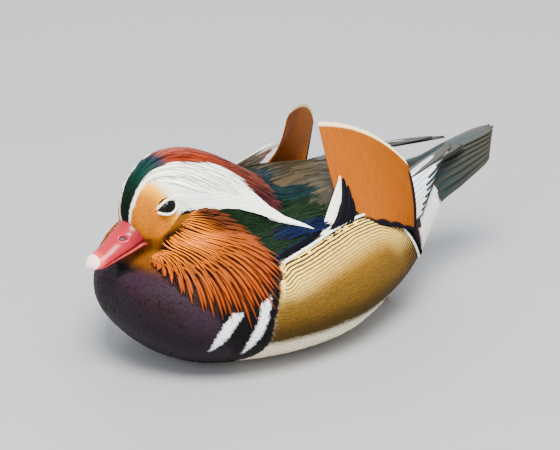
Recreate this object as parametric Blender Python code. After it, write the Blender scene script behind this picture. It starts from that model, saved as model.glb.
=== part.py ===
"""A mandarin duck drake at life size, as it floats with its neck drawn in.

The bird looks along -X, its left side is towards -Y and it sits on the flat of its belly at
Z = 0.  All sizes are in millimetres and are turned into metres where a mesh is made.
"""

import bpy
import bmesh
import math
import random
import numpy as np
from mathutils import Vector
from mathutils.bvhtree import BVHTree

MM = 0.001
GAP = 0.3
AXIS_HEIGHT = 60.0
BODY_SIDES = 28
BODY_RINGS = 25
HEAD_SIDES = 24
HEAD_RINGS = 21

# Body outline, breast to tail root: x, half width, top, height of the widest line, underside,
# roundness above the widest line, roundness below it
BODY_STATIONS = (
    (-118.0, 0.0, 47.0, 47.0, 47.0, 2.2, 2.2),
    (-115.0, 21.0, 60.0, 46.0, 33.0, 2.2, 2.2),
    (-106.0, 37.0, 70.0, 44.0, 21.0, 2.2, 2.2),
    (-93.0, 50.0, 77.0, 42.0, 9.0, 2.3, 2.2),
    (-75.0, 61.0, 81.0, 42.0, 2.0, 2.4, 2.3),
    (-50.0, 71.0, 84.0, 44.0, -1.0, 2.5, 2.4),
    (-20.0, 75.0, 86.0, 45.0, -3.0, 2.6, 2.5),
    (15.0, 72.0, 87.0, 45.0, -3.0, 2.6, 2.5),
    (45.0, 63.0, 85.0, 46.0, 4.5, 2.5, 2.4),
    (75.0, 49.0, 80.0, 48.0, 13.5, 2.4, 2.3),
    (100.0, 33.0, 76.0, 52.0, 27.0, 2.3, 2.2),
    (120.0, 21.0, 74.0, 58.0, 43.0, 2.2, 2.1),
    (134.0, 12.0, 73.0, 65.0, 57.0, 2.1, 2.0),
    (141.0, 0.0, 67.0, 67.0, 67.0, 2.0, 2.0),
)

# Head and neck outline, bill root to the shoulders: x and z of the top line, x and z of the
# bottom line, half width, place of the widest line from top (0) to bottom (1), roundness above
# it, roundness below it
HEAD_STATIONS = (
    (-106.0, 89.0, -106.0, 89.0, 0.0, 0.5, 2.2, 2.2),
    (-108.0, 96.0, -100.0, 80.0, 10.5, 0.5, 2.2, 2.2),
    (-107.0, 106.0, -93.0, 74.0, 15.0, 0.5, 2.2, 2.2),
    (-101.0, 118.0, -84.0, 68.0, 19.0, 0.5, 2.3, 2.2),
    (-91.0, 126.5, -73.0, 64.0, 22.0, 0.5, 2.3, 2.2),
    (-77.0, 129.5, -62.0, 61.0, 24.5, 0.52, 2.2, 2.2),
    (-61.0, 127.0, -52.0, 56.0, 29.0, 0.55, 2.0, 2.2),
    (-43.0, 118.5, -44.0, 46.0, 38.0, 0.6, 1.8, 2.2),
    (-24.0, 106.5, -38.0, 36.0, 47.0, 0.62, 1.7, 2.2),
    (-6.0, 94.0, -28.0, 32.0, 50.0, 0.6, 1.8, 2.2),
    (7.0, 83.0, -16.0, 40.0, 44.0, 0.5, 2.0, 2.2),
    (4.0, 62.0, 4.0, 62.0, 0.0, 0.5, 2.2, 2.2),
)

# Upper bill from inside the face to the tip, in the same terms as the head
BILL_STATIONS = (
    (-101.0, 92.0, -96.0, 86.0, 0.0, 0.8, 2.0, 2.6),
    (-101.5, 95.5, -95.5, 84.0, 9.6, 0.8, 2.0, 2.6),
    (-107.4, 94.2, -101.2, 83.2, 10.0, 0.8, 2.0, 2.6),
    (-112.5, 89.6, -107.0, 80.8, 9.3, 0.8, 2.0, 2.6),
    (-118.5, 85.0, -114.0, 78.2, 8.2, 0.8, 2.0, 2.6),
    (-124.5, 81.3, -121.0, 75.7, 7.5, 0.8, 2.0, 2.6),
    (-130.0, 78.2, -127.5, 73.2, 6.7, 0.8, 2.0, 2.6),
    (-133.3, 76.0, -131.6, 71.8, 4.8, 0.75, 2.0, 2.4),
    (-135.0, 73.4, -135.0, 73.4, 0.0, 0.5, 2.0, 2.0),
)

# Lower bill, a shallow tray just under the upper one
CHIN_STATIONS = (
    (-94.0, 81.0, -94.0, 81.0, 0.0, 0.3, 2.0, 2.2),
    (-95.5, 83.2, -94.0, 79.0, 8.6, 0.3, 2.6, 2.2),
    (-101.6, 82.7, -99.6, 78.4, 8.9, 0.3, 2.6, 2.2),
    (-107.4, 80.3, -105.6, 76.3, 8.1, 0.3, 2.6, 2.2),
    (-114.4, 77.7, -113.0, 74.3, 7.0, 0.3, 2.6, 2.2),
    (-121.4, 75.2, -120.2, 72.4, 6.2, 0.3, 2.6, 2.2),
    (-127.8, 72.7, -127.0, 70.6, 4.6, 0.3, 2.6, 2.2),
    (-130.6, 71.0, -130.6, 71.0, 0.0, 0.5, 2.0, 2.0),
)

EYE_CENTRE = (-89.6, -15.9, 105.0)
EYE_RADIUS = 6.0
LID_LENGTH = 5.6
LID_HEIGHT = 4.2
LID_THICKNESS = 1.05
NECK_CUT = ((-48.0, 0.0, 95.0), (-0.938, 0.0, 0.346))
NAIL_CUT = ((-126.2, 0.0, 77.0), (-0.85, 0.0, -0.527))
LOCK_THICKNESS = 1.1
PLUME_THICKNESS = 1.0
VANE_THICKNESS = 0.9
VANE_RINGS = 5

# Cheek hackles: the line that they spring from and the rim that they reach, both as x and turn
HACKLE_ROOTS = ((-80.0, 62.0), (-84.0, 58.0), (-90.0, 56.0), (-96.0, 52.0))
HACKLE_RIM = ((-62.0, 55.0), (-54.0, 47.0), (-45.5, 33.0), (-43.5, 20.0), (-42.5, 7.0),
              (-49.0, -3.0), (-58.0, -9.0), (-68.0, -14.0), (-79.0, -14.0), (-89.0, -12.0),
              (-96.0, -3.0), (-100.0, 10.0), (-101.0, 24.0))
# Tiers of hackles, outermost first: how many, how far to the rim they reach, where they start,
# half width, how high they stand
HACKLE_TIERS = (
    (14, 1.0, 0.55, 3.8, 1.5),
    (9, 0.76, 0.36, 3.7, 2.9),
    (3, 0.5, 0.2, 3.2, 3.9),
)

# Crest locks of one side, root and tip as x and turn, half width
CREST_LOCKS = (
    (-74.0, 87.0, -46.0, 80.0, 3.6), (-66.0, 86.0, -37.0, 70.0, 3.8),
    (-57.0, 86.0, -33.0, 55.0, 3.8), (-46.0, 84.0, -25.0, 43.0, 3.8),
    (-38.0, 84.0, -15.0, 43.0, 3.8), (-34.0, 88.0, -6.0, 51.0, 3.8),
    (-30.0, 90.0, 0.0, 62.0, 3.6), (-28.0, 91.0, 3.0, 77.0, 3.4),
)
# Plumes of the green nape, in the same terms
NAPE_PLUMES = (
    (-18.0, 70.0, 24.0, 61.0, 4.4),
    (-14.0, 60.0, 30.0, 52.0, 4.4), (-20.0, 48.0, 16.0, 39.0, 4.4),
    (-28.0, 34.0, 6.0, 29.0, 4.2), (-34.0, 21.0, 2.0, 19.0, 4.0),
)

# Covering feathers of the shoulder, in the same terms
SCAPULARS = (
    (2.0, 72.0, 44.0, 76.0, 6.0), (0.0, 52.0, 26.0, 56.0, 5.5), (24.0, 60.0, 62.0, 68.0, 6.5),
)
# Flight feathers behind the sail, left side: start, middle, tip, half width.  The white-edged
# plumes before the sail start at an x and turn
PRIMARIES = (
    ((56.0, -34.0, 82.0), (96.0, -22.5, 86.5), (130.0, -8.5, 88.0), 4.6),
    ((58.0, -37.0, 79.5), (108.0, -18.5, 84.0), (150.0, -8.0, 82.5), 4.2),
    ((58.0, -40.0, 78.0), (92.0, -28.5, 83.0), (122.0, -15.0, 85.5), 4.8),
    ((60.0, -43.0, 75.0), (90.0, -32.5, 79.5), (113.0, -21.5, 82.0), 4.8),
    ((62.0, -45.5, 72.0), (86.0, -37.0, 75.5), (104.0, -28.0, 77.5), 4.8),
    ((64.0, -48.0, 68.5), (82.0, -41.0, 71.5), (95.0, -34.0, 73.0), 4.6),
    ((65.0, -50.0, 65.0), (78.0, -44.5, 67.0), (87.0, -39.5, 68.0), 4.2),
)
WEDGE_PLUMES = (
    ((-6.0, 19.0), (9.0, -46.5, 86.5), (24.5, -32.0, 99.5), 2.8),
    ((-1.0, 20.0), (12.0, -48.0, 84.5), (25.5, -36.5, 94.5), 2.8),
)
TAIL_PAIRS = 5
TAIL_START = (112.0, 80.0)
TAIL_START_TURN = -16.0
TAIL_TIP = np.array([176.0, -1.6, 86.0])
TAIL_TIP_STEP = np.array([-2.4, -2.1, -2.2])
TAIL_HALF_WIDTH = 4.8

BREAST_END = -46.0
RUMP_START = 72.0
BACK_LEVEL = 76.0
BELLY_LEVEL = 20.0
TAIL_LEVEL = 60.0


def clear_scene():
    for old in list(bpy.data.objects):
        bpy.data.objects.remove(old, do_unlink=True)


def material(name, colour, roughness, metallic=0.0):
    made = bpy.data.materials.new(name)
    made.use_nodes = True
    shader = made.node_tree.nodes["Principled BSDF"]
    shader.inputs["Base Color"].default_value = (*colour, 1.0)
    shader.inputs["Roughness"].default_value = roughness
    shader.inputs["Metallic"].default_value = metallic
    made.diffuse_color = (*colour, 1.0)
    return made


def smooth_rows(stations, count):
    """Rows on one smooth curve through the stations, evenly spaced along it."""
    rows = np.array(stations, float)
    step = np.linalg.norm(np.diff(rows[:, :5], axis=0), axis=1)
    knots = np.concatenate([[0.0], np.cumsum(np.sqrt(step))])
    slope = np.gradient(rows, knots, axis=0)
    at = np.linspace(0.0, knots[-1], count)
    i = np.clip(np.searchsorted(knots, at, side="right") - 1, 0, len(rows) - 2)
    span = (knots[i + 1] - knots[i])[:, None]
    t = (at - knots[i])[:, None] / span
    out = (2 * t**3 - 3 * t**2 + 1) * rows[i] + (t**3 - 2 * t**2 + t) * span * slope[i]
    return out + (3 * t**2 - 2 * t**3) * rows[i + 1] + (t**3 - t**2) * span * slope[i + 1]


def round_power(value, power):
    return np.sign(value) * np.abs(value) ** (2.0 / power)


def body_rings(count, sides):
    """Cross sections of the body: superellipses whose halves above and below differ."""
    rows = smooth_rows(BODY_STATIONS, count)
    x, half, top, wide, under, above, below = rows.T[:, :, None]
    half = np.maximum(half, 0.0)
    turn = np.linspace(0.0, 2 * math.pi, sides, endpoint=False)[None, :]
    power = np.where(np.sin(turn) >= 0, above, below)
    rise = round_power(np.sin(turn), power)
    y = half * round_power(np.cos(turn), power)
    z = wide + np.where(rise >= 0, (top - wide) * rise, (wide - under) * rise)
    return np.stack([x + 0 * y, y, np.maximum(z, 0.0)], -1)


def tilted_rings(stations, count, sides):
    """Cross sections each in the plane from its top to its bottom point, as on head and bill."""
    rows = smooth_rows(stations, count)
    top_x, top_z, low_x, low_z, half, wide, above, below = rows.T[:, :, None]
    half = np.maximum(half, 0.0)
    turn = np.linspace(0.0, 2 * math.pi, sides, endpoint=False)[None, :]
    power = np.where(np.sin(turn) >= 0, above, below)
    rise = round_power(np.sin(turn), power)
    y = half * round_power(np.cos(turn), power)
    down = np.where(rise >= 0, wide * (1 - rise), wide - (1 - wide) * rise)
    return np.stack([top_x + (low_x - top_x) * down, y, top_z + (low_z - top_z) * down], -1)


def closed_loft(rings):
    """Vertices and faces of rings joined in order, the first and last shrunk to a point."""
    count, sides = rings.shape[:2]
    inner = rings[1:-1].reshape(-1, 3)
    points = np.vstack([inner, rings[0].mean(0), rings[-1].mean(0)])
    first, last = len(inner), len(inner) + 1
    faces = []
    for j in range(sides):
        k = (j + 1) % sides
        faces.append((first, k, j))
        base = (count - 3) * sides
        faces.append((last, base + j, base + k))
        for i in range(count - 3):
            a = i * sides
            b = a + sides
            faces.append((a + j, a + k, b + k, b + j))
    return points, faces


def solid(name, points, faces, group, look=None, grow=0.0):
    """A closed mesh object from points in millimetres, its faces turned outwards."""
    mesh = bpy.data.meshes.new(name)
    mesh.from_pydata([tuple(p) for p in np.asarray(points) * MM], [], faces)
    work = bmesh.new()
    work.from_mesh(mesh)
    bmesh.ops.remove_doubles(work, verts=work.verts, dist=1e-7)
    bmesh.ops.recalc_face_normals(work, faces=work.faces)
    if work.calc_volume(signed=True) < 0:
        bmesh.ops.reverse_faces(work, faces=work.faces)
    if grow:
        work.normal_update()
        for vert in work.verts:
            vert.co += vert.normal * grow * MM
    work.to_mesh(mesh)
    work.free()
    made = bpy.data.objects.new(name, mesh)
    group.objects.link(made)
    if look:
        mesh.materials.append(look)
    return made


class Skin:
    """The outer surface of some solids, met from outside along lines from the body's axis."""

    def __init__(self, objects, axis_height):
        self.axis_height = axis_height
        self.objects = list(objects)
        points, faces = [], []
        for made in objects:
            start = len(points)
            points += [made.matrix_world @ vert.co / MM for vert in made.data.vertices]
            faces += [[start + k for k in face.vertices] for face in made.data.polygons]
        self.tree = BVHTree.FromPolygons(points, faces)

    def point(self, x, turn, lift):
        """Point at x, turned so many degrees up from the left side, lifted off the surface."""
        out = Vector((0.0, -math.cos(math.radians(turn)), math.sin(math.radians(turn))))
        axis = Vector((x, 0.0, self.axis_height))
        place, normal, _, _ = self.tree.ray_cast(axis + out * 300.0, -out)
        if place is None:
            place, normal = axis, out
        if normal.dot(out) < 0.3:
            normal = out
        return np.array(place + (normal * 0.6 + out * 0.4).normalized() * lift)


def sheet(top, under):
    """Vertices and faces of a thin solid between two grids, split alike on both faces."""
    rows, columns = top.shape[:2]
    count = rows * columns
    points = np.vstack([top.reshape(-1, 3), under.reshape(-1, 3)])
    faces = []
    for i in range(rows - 1):
        for j in range(columns - 1):
            a = i * columns + j
            b, c, d = a + 1, a + columns + 1, a + columns
            if j < (columns - 1) / 2:
                faces += [(a, b, c), (a, c, d)]
                faces += [(count + c, count + b, count + a), (count + d, count + c, count + a)]
            else:
                faces += [(a, b, d), (b, c, d)]
                faces += [(count + d, count + b, count + a), (count + d, count + c, count + b)]
    rim = [j for j in range(columns)]
    rim += [i * columns + columns - 1 for i in range(1, rows)]
    rim += [(rows - 1) * columns + j for j in range(columns - 2, -1, -1)]
    rim += [i * columns for i in range(rows - 2, 0, -1)]
    for k, a in enumerate(rim):
        b = rim[(k + 1) % len(rim)]
        faces += [(b, a, count + a), (b, count + a, count + b)]
    return points, faces


def pad(skin, rows, thickness, columns, sunk=0.6):
    """A draped pad: rows of x and the two turns that it reaches, thick inside, thin at its rim."""
    rows = np.array(rows, float)
    top, under = [], []
    for i, (x, low, high) in enumerate(rows):
        along = math.sin(math.pi * (i + 0.35) / (len(rows) - 0.3))
        top_row, under_row = [], []
        for j in range(columns):
            across = j / (columns - 1)
            crown = (1 - abs(2 * across - 1) ** 3) * along
            turn = low + (high - low) * across
            top_row.append(skin.point(x, turn, 1.1 + thickness * crown))
            under_row.append(skin.point(x, turn, -sunk))
        top.append(top_row)
        under.append(under_row)
    return sheet(np.array(top), np.array(under))


def strip(path, outward, half_width, thickness, profile, clear=0.0):
    """A closed tapering strip along a path, its section a list of places across and up.

    With a clearance it is the box-shaped space that a neighbour leaves free round that strip.
    """
    path = np.array(path, float)
    outward = np.asarray(outward, float)
    if clear:
        profile = BOX
        half_width = np.asarray(half_width) + clear
        thickness = np.asarray(thickness) + 2 * clear
        path[0] -= (path[1] - path[0]) / np.linalg.norm(path[1] - path[0]) * clear
        path[-1] += (path[-1] - path[-2]) / np.linalg.norm(path[-1] - path[-2]) * clear
    along = np.gradient(path, axis=0)
    along /= np.linalg.norm(along, axis=1)[:, None]
    across = np.cross(along, outward)
    across /= np.linalg.norm(across, axis=1)[:, None]
    up = np.cross(across, along)
    sides = len(profile)
    points = []
    for u, v in profile:
        points.append(path + across * (u * half_width)[:, None] + up * (v * thickness)[:, None])
    points = np.stack(points, 1).reshape(-1, 3)
    faces = [tuple(range(sides))]
    last = (len(path) - 1) * sides
    faces.append(tuple(last + k for k in reversed(range(sides))))
    for i in range(len(path) - 1):
        a, b = i * sides, (i + 1) * sides
        for k in range(sides):
            m = (k + 1) % sides
            outer, inner = (k, m) if abs(profile[k][0]) > abs(profile[m][0]) else (m, k)
            faces.append((a + outer, a + inner, b + inner))
            faces.append((a + outer, b + inner, b + outer))
    return points, faces


BOX = ((-1.0, 0.5), (1.0, 0.5), (1.0, -0.5), (-1.0, -0.5))
RIDGE = ((-1.0, -0.35), (1.0, -0.35), (0.0, 0.5))
OVAL = tuple((math.cos(a * math.pi / 4), 0.5 * math.sin(a * math.pi / 4)) for a in range(8))
PLATE = ((-1.0, 0.4), (1.0, 0.4), (1.0, -0.4), (-1.0, -0.4))


def bend(start, middle, end, count):
    """Points along a quadratic curve that passes its middle point halfway."""
    start, middle, end = (np.array(p, float) for p in (start, middle, end))
    t = np.linspace(0.0, 1.0, count)[:, None]
    pull = 2 * middle - (start + end) / 2
    return (1 - t) ** 2 * start + 2 * t * (1 - t) * pull + t**2 * end


def widths(count, root, full, tip, blunt):
    """Half widths along a feather: narrow root, full middle, and a tip that closes late if blunt."""
    t = np.linspace(0.0, 1.0, count)
    swell = root + (full - root) * np.minimum(1.0, t / 0.35)
    return swell * np.maximum(1 - t**blunt, tip / full)


def lock(skin, root, tip, lifts, half, thickness, bow=0.0, clear=0.0, rings=5):
    """A flat tapering lock over the skin, its root and tip given as x and turn."""
    root, tip = np.array(root, float), np.array(tip, float)
    t = np.linspace(0.0, 1.0, rings)
    swing = np.array([root[1] - tip[1], tip[0] - root[0]])
    places = root + (tip - root) * t[:, None] + swing * (4 * bow * t * (1 - t))[:, None]
    rise = lifts[0] + (lifts[1] - lifts[0]) * np.minimum(1.0, t / 0.45)
    path = np.array([skin.point(x, turn, high) for (x, turn), high in zip(places, rise)])
    above = np.array([skin.point(x, turn, high + 2) for (x, turn), high in zip(places, rise)])
    path[1:-1] = path[1:-1] * 0.6 + (path[:-2] + path[2:]) * 0.2
    taper = half * np.sin(math.pi * (0.12 + 0.83 * t))
    return strip(path, above - path, taper, thickness * (1 - 0.4 * t), RIDGE, clear)


def along_line(line, fraction):
    """The place a fraction of the way along a line of points."""
    line = np.array(line)
    run = np.concatenate([[0.0], np.cumsum(np.linalg.norm(np.diff(line, axis=0), axis=1))])
    at = fraction * run[-1]
    return np.array([np.interp(at, run, line[:, k]) for k in range(line.shape[1])])


def hackles(skin, side):
    """Cheek hackles: flat locks in tiers that fan out from below and behind the eye."""
    chance = random.Random(3)
    pieces = []
    for count, reach, start, half, lift in HACKLE_TIERS:
        for k in range(count):
            fraction = (k + 0.5 + chance.uniform(-0.18, 0.18)) / count
            base = along_line(HACKLE_ROOTS, fraction)
            rim = along_line(HACKLE_RIM, fraction)
            tip = base + (rim - base) * (reach + chance.uniform(-0.03, 0.03))
            root = base + (rim - base) * start
            points, faces = lock(skin, root, tip, (-0.6, lift), half * chance.uniform(0.9, 1.1),
                                 LOCK_THICKNESS, chance.uniform(-0.06, 0.06))
            pieces.append((mirrored(points, side), faces))
    return pieces


def draped_locks(skin, table, lifts, thickness, side, clear=0.0):
    pieces = []
    for root_x, root_turn, tip_x, tip_turn, half in table:
        points, faces = lock(skin, (root_x, root_turn), (tip_x, tip_turn), lifts, half,
                             thickness, 0.03, clear)
        pieces.append((mirrored(points, side), faces))
    return pieces


def apply_modifiers(made):
    bpy.context.view_layer.update()
    graph = bpy.context.evaluated_depsgraph_get()
    mesh = bpy.data.meshes.new_from_object(made.evaluated_get(graph))
    made.modifiers.clear()
    made.data = mesh


def drop(made):
    bpy.data.objects.remove(made, do_unlink=True)


def keep_largest(made):
    """Leaves only the closed surface of the greatest volume, without cavities that touch it."""
    work = bmesh.new()
    work.from_mesh(made.data)
    seen, islands = set(), []
    for face in work.faces:
        if face in seen:
            continue
        island, front = [], [face]
        seen.add(face)
        while front:
            at = front.pop()
            island.append(at)
            for edge in at.edges:
                if len(edge.link_faces) != 2:
                    continue
                for other in edge.link_faces:
                    if other not in seen:
                        seen.add(other)
                        front.append(other)
        islands.append(island)

    def volume(island):
        total = 0.0
        for face in island:
            corners = [vert.co for vert in face.verts]
            for k in range(1, len(corners) - 1):
                total += corners[0].dot(corners[k].cross(corners[k + 1]))
        return total

    islands.sort(key=volume, reverse=True)
    for island in islands[1:]:
        bmesh.ops.delete(work, geom=island, context="FACES")
    work.to_mesh(made.data)
    work.free()


def lowest_first(made):
    """Lists the faces from the lowest up, so that a reader meets the plain underside first."""
    work = bmesh.new()
    work.from_mesh(made.data)
    work.faces.sort(key=lambda face: face.calc_center_median().z)
    work.to_mesh(made.data)
    work.free()


def cut_away(made, cutter, solver="EXACT"):
    cut = made.modifiers.new("cut", "BOOLEAN")
    cut.operation = "DIFFERENCE"
    cut.object = cutter
    cut.solver = solver
    apply_modifiers(made)


def join_all(made, pieces, solver="EXACT"):
    """One union of the object with a collection of closed pieces, which is then removed."""
    group = bpy.data.collections.new(made.name + "_pieces")
    bpy.context.scene.collection.children.link(group)
    for k, (points, faces) in enumerate(pieces):
        solid(made.name + "_piece_" + str(k), points, faces, group)
    union = made.modifiers.new("join", "BOOLEAN")
    union.operation = "UNION"
    union.operand_type = "COLLECTION"
    union.collection = group
    union.solver = solver
    apply_modifiers(made)
    for piece in list(group.objects):
        drop(piece)
    bpy.data.collections.remove(group)


def keep_side(made, place, normal):
    """Cuts the solid by a plane in millimetres and closes it, keeping the normal's side."""
    work = bmesh.new()
    work.from_mesh(made.data)
    bmesh.ops.bisect_plane(
        work,
        geom=work.verts[:] + work.edges[:] + work.faces[:],
        dist=1e-8,
        plane_co=Vector(place) * MM,
        plane_no=Vector(normal),
        clear_inner=True,
    )
    rims = [edge for edge in work.edges if edge.is_boundary]
    bmesh.ops.holes_fill(work, edges=rims, sides=0)
    bmesh.ops.triangulate(work, faces=[face for face in work.faces if len(face.verts) > 4])
    bmesh.ops.recalc_face_normals(work, faces=work.faces)
    work.to_mesh(made.data)
    work.free()


def ring(centres, outward, radius, sides):
    """A closed tube round a closed line of centres."""
    along = np.roll(centres, -1, axis=0) - np.roll(centres, 1, axis=0)
    along /= np.linalg.norm(along, axis=1)[:, None]
    across = np.cross(along, outward)
    count = len(centres)
    points, faces = [], []
    for k in range(sides):
        angle = 2 * math.pi * k / sides
        points.append(centres + radius * (math.cos(angle) * across + math.sin(angle) * outward))
    points = np.stack(points, 1).reshape(-1, 3)
    for i in range(count):
        a, b = i * sides, (i + 1) % count * sides
        for k in range(sides):
            m = (k + 1) % sides
            faces.append((a + k, a + m, b + m, b + k))
    return points, faces


def ball(centre, radii, count=10, sides=16):
    """A closed ellipsoid of rings, its poles on the X axis."""
    around = np.linspace(0.0, math.pi, count)[:, None]
    turn = np.linspace(0.0, 2 * math.pi, sides, endpoint=False)[None, :]
    x = np.cos(around) + 0 * turn
    y = np.sin(around) * np.cos(turn)
    z = np.sin(around) * np.sin(turn)
    return closed_loft(np.stack([x, y, z], -1) * np.array(radii) + np.array(centre))


def mirrored(points, side):
    """Points drawn for the left side, flipped across the bird's middle for the right."""
    return np.asarray(points, float) * np.array([1.0, -side, 1.0])


def eye_frame():
    """Unit directions of the left eye: out of the head, forward along the lids, and up."""
    out = np.array([-0.27, -0.93, 0.22])
    out /= np.linalg.norm(out)
    forward = np.array([-0.93, 0.2, -0.28])
    forward -= out * forward.dot(out)
    forward /= np.linalg.norm(forward)
    return out, forward, np.cross(forward, out)


def lids(side):
    """The two lids as one almond rim on the eyeball, pointed towards the bill."""
    out, forward, up = eye_frame()
    turn = np.linspace(0.0, 2 * math.pi, 18, endpoint=False)
    reach = LID_LENGTH * np.cos(turn) + 0.9 * np.maximum(np.cos(turn), 0) ** 6
    rise = LID_HEIGHT * np.sin(turn) * (1 - 0.25 * np.cos(turn))
    spread = forward * reach[:, None] + up * rise[:, None]
    shell = EYE_RADIUS + 0.4
    depth = np.sqrt(np.maximum(shell**2 - (spread**2).sum(1), 0.1))
    centres = np.array(EYE_CENTRE) + spread + out * depth[:, None]
    outward = (centres - np.array(EYE_CENTRE)) / shell
    points, faces = ring(centres, outward, LID_THICKNESS, 6)
    return mirrored(points, side), faces


def make_body(parts, looks):
    """The body as one form, parted into named regions by thin plane cuts."""
    shape = closed_loft(body_rings(BODY_RINGS, BODY_SIDES))
    front, rear = (BREAST_END, 0.0, 0.0), (RUMP_START, 0.0, 0.0)
    back, belly = (0.0, 0.0, BACK_LEVEL), (0.0, 0.0, BELLY_LEVEL)
    tail, middle = (0.0, 0.0, TAIL_LEVEL), (0.0, 0.0, 0.0)
    ahead, behind = (-1.0, 0.0, 0.0), (1.0, 0.0, 0.0)
    over, under = (0.0, 0.0, 1.0), (0.0, 0.0, -1.0)
    left, right = (0.0, -1.0, 0.0), (0.0, 1.0, 0.0)
    trunk = ((front, behind), (rear, ahead))
    regions = {
        "breast": ("maroon", ((front, ahead),)),
        "back": ("olive", trunk + ((back, over),)),
        "belly": ("white", trunk + ((belly, under),)),
        "flank_left": ("buff", trunk + ((back, under), (belly, over), (middle, left))),
        "flank_right": ("buff", trunk + ((back, under), (belly, over), (middle, right))),
        "rump": ("olive", ((rear, behind), (tail, over))),
        "undertail": ("white", ((rear, behind), (tail, under))),
    }
    for name, (look, planes) in regions.items():
        made = solid(name, *shape, parts, looks[look])
        for place, normal in planes:
            shifted = Vector(place) + Vector(normal) * GAP / 2
            keep_side(made, shifted, normal)


def make_head(parts, cutters, looks, skin):
    """Head with its lids, crest and cheek hackles."""
    shape = closed_loft(tilted_rings(HEAD_STATIONS, HEAD_RINGS, HEAD_SIDES))
    place, normal = Vector(NECK_CUT[0]), Vector(NECK_CUT[1])
    head = solid("head", *shape, parts, looks["rust"])
    keep_side(head, place + normal * GAP / 2, normal)
    crest = crest_piece(skin)
    whole_crest = solid("whole_crest", *crest, cutters)
    over_crest = Skin([whole_crest, parts.objects["neck"], *skin.objects], AXIS_HEIGHT)
    pieces = [crest]
    for side in (-1, 1):
        core = ruff_piece(skin, side)
        whole_core = solid("whole_core", *ruff_piece(skin, -1), cutters)
        over_core = Skin([whole_core, parts.objects["neck"], *skin.objects], AXIS_HEIGHT)
        pieces += [lids(side), core]
        pieces += hackles(over_core, side)
        pieces += draped_locks(over_crest, CREST_LOCKS, (-0.6, 1.3), LOCK_THICKNESS, side)
        drop(whole_core)
    join_all(head, pieces, "MANIFOLD")
    for name in ("near_body", "near_neck"):
        cut_away(head, cutters.objects[name], "MANIFOLD")
    for side, name in ((-1, "eye_left"), (1, "eye_right")):
        centre = mirrored(EYE_CENTRE, side)
        socket = solid("socket", *ball(centre, [EYE_RADIUS + GAP] * 3, 11, 16), cutters)
        cut_away(head, socket, "MANIFOLD")
        solid(name, *ball(centre, [EYE_RADIUS] * 3, 10, 14), parts, looks["eye"])
    keep_largest(head)
    near_crest = solid("near_crest", *crest, cutters, grow=GAP)
    pieces = []
    for side in (-1, 1):
        pieces += draped_locks(over_crest, CREST_LOCKS, (-0.6, 1.3), LOCK_THICKNESS, side, GAP)
    join_all(near_crest, pieces, "MANIFOLD")


def neck_plumes(over_wing, side, clear=0.0):
    return draped_locks(over_wing, NAPE_PLUMES, (-0.6, 1.4), PLUME_THICKNESS, side, clear)


def make_neck(parts, cutters, looks, skin):
    """The neck behind the head, with the long plumes of the nape."""
    shape = closed_loft(tilted_rings(HEAD_STATIONS, HEAD_RINGS, HEAD_SIDES))
    place, normal = Vector(NECK_CUT[0]), Vector(NECK_CUT[1])
    neck = solid("neck", *shape, parts, looks["green"])
    keep_side(neck, place - normal * GAP / 2, -normal)
    near_neck = solid("near_neck", *shape, cutters, grow=GAP)
    keep_side(near_neck, place + normal * (GAP / 2 - 0.01), -normal)
    over_wing = Skin([cutters.objects["whole_wing"], *skin.objects], AXIS_HEIGHT)
    for made, clear in ((neck, 0.0), (near_neck, GAP)):
        pieces = []
        for side in (-1, 1):
            pieces += neck_plumes(over_wing, side, clear)
        join_all(made, pieces, "MANIFOLD")
    cut_away(neck, cutters.objects["near_body"], "MANIFOLD")
    keep_largest(neck)
    lowest_first(neck)


def crest_piece(skin):
    rows = ((-90, 84, 96), (-78, 80, 100), (-62, 77, 103), (-46, 73, 107), (-30, 68, 112),
            (-18, 68, 112), (-8, 76, 104))
    return pad(skin, rows, 1.6, 6)


def ruff_piece(skin, side):
    rows = ((-100, 16, 36), (-95, 3, 53), (-86, -4, 59), (-75, -5, 57), (-64, -2, 48),
            (-54, 8, 28))
    points, faces = pad(skin, rows, 1.8, 6)
    return mirrored(points, side), faces


def make_bill(parts, cutters, looks):
    """Upper bill with its nostrils, the nail at its tip, and the lower bill."""
    shape = closed_loft(tilted_rings(BILL_STATIONS, 14, 14))
    face = solid("near_face", *closed_loft(tilted_rings(HEAD_STATIONS, HEAD_RINGS, HEAD_SIDES)),
                 cutters, grow=GAP)
    place, normal = Vector(NAIL_CUT[0]), Vector(NAIL_CUT[1])
    nail = solid("bill_nail", *shape, parts, looks["nail"])
    keep_side(nail, place + normal * GAP / 2, normal)
    upper = solid("bill_upper", *shape, parts, looks["coral"])
    keep_side(upper, place - normal * GAP / 2, -normal)
    cut_away(upper, face)
    for side in (-1, 1):
        hole = mirrored((-112.6, -5.6, 87.2), side)
        slot = solid("nostril", *ball(hole, (2.4, 1.5, 0.9), 7, 8), cutters)
        cut_away(upper, slot)
    keep_largest(upper)
    lower = solid("bill_lower", *closed_loft(tilted_rings(CHIN_STATIONS, 12, 14)), parts,
                  looks["coral"])
    cut_away(lower, face)
    keep_largest(lower)


def wing_pad(skin, side):
    rows = ((-12, 15, 34), (-3, 15, 70), (8, 17, 87), (24, 19, 89), (42, 18, 89),
            (56, 11, 89), (70, 0, 87), (82, -6, 78))
    points, faces = pad(skin, rows, 4.0, 8, sunk=1.0)
    return mirrored(points, side), faces


def vane(start, middle, end, half, side, blunt=4.0, clear=0.0):
    """A flat flight feather that faces out from the middle of the body."""
    path = bend(start, middle, end, VANE_RINGS)
    outward = path - np.array([0.0, 0.0, AXIS_HEIGHT - 8.0])
    outward[:, 0] = 0.0
    spread = widths(VANE_RINGS, half * 0.6, half, half * 0.35, blunt)
    thickness = np.full(VANE_RINGS, VANE_THICKNESS)
    points, faces = strip(path, outward, spread, thickness, PLATE, clear)
    return mirrored(points, side), faces


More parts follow.
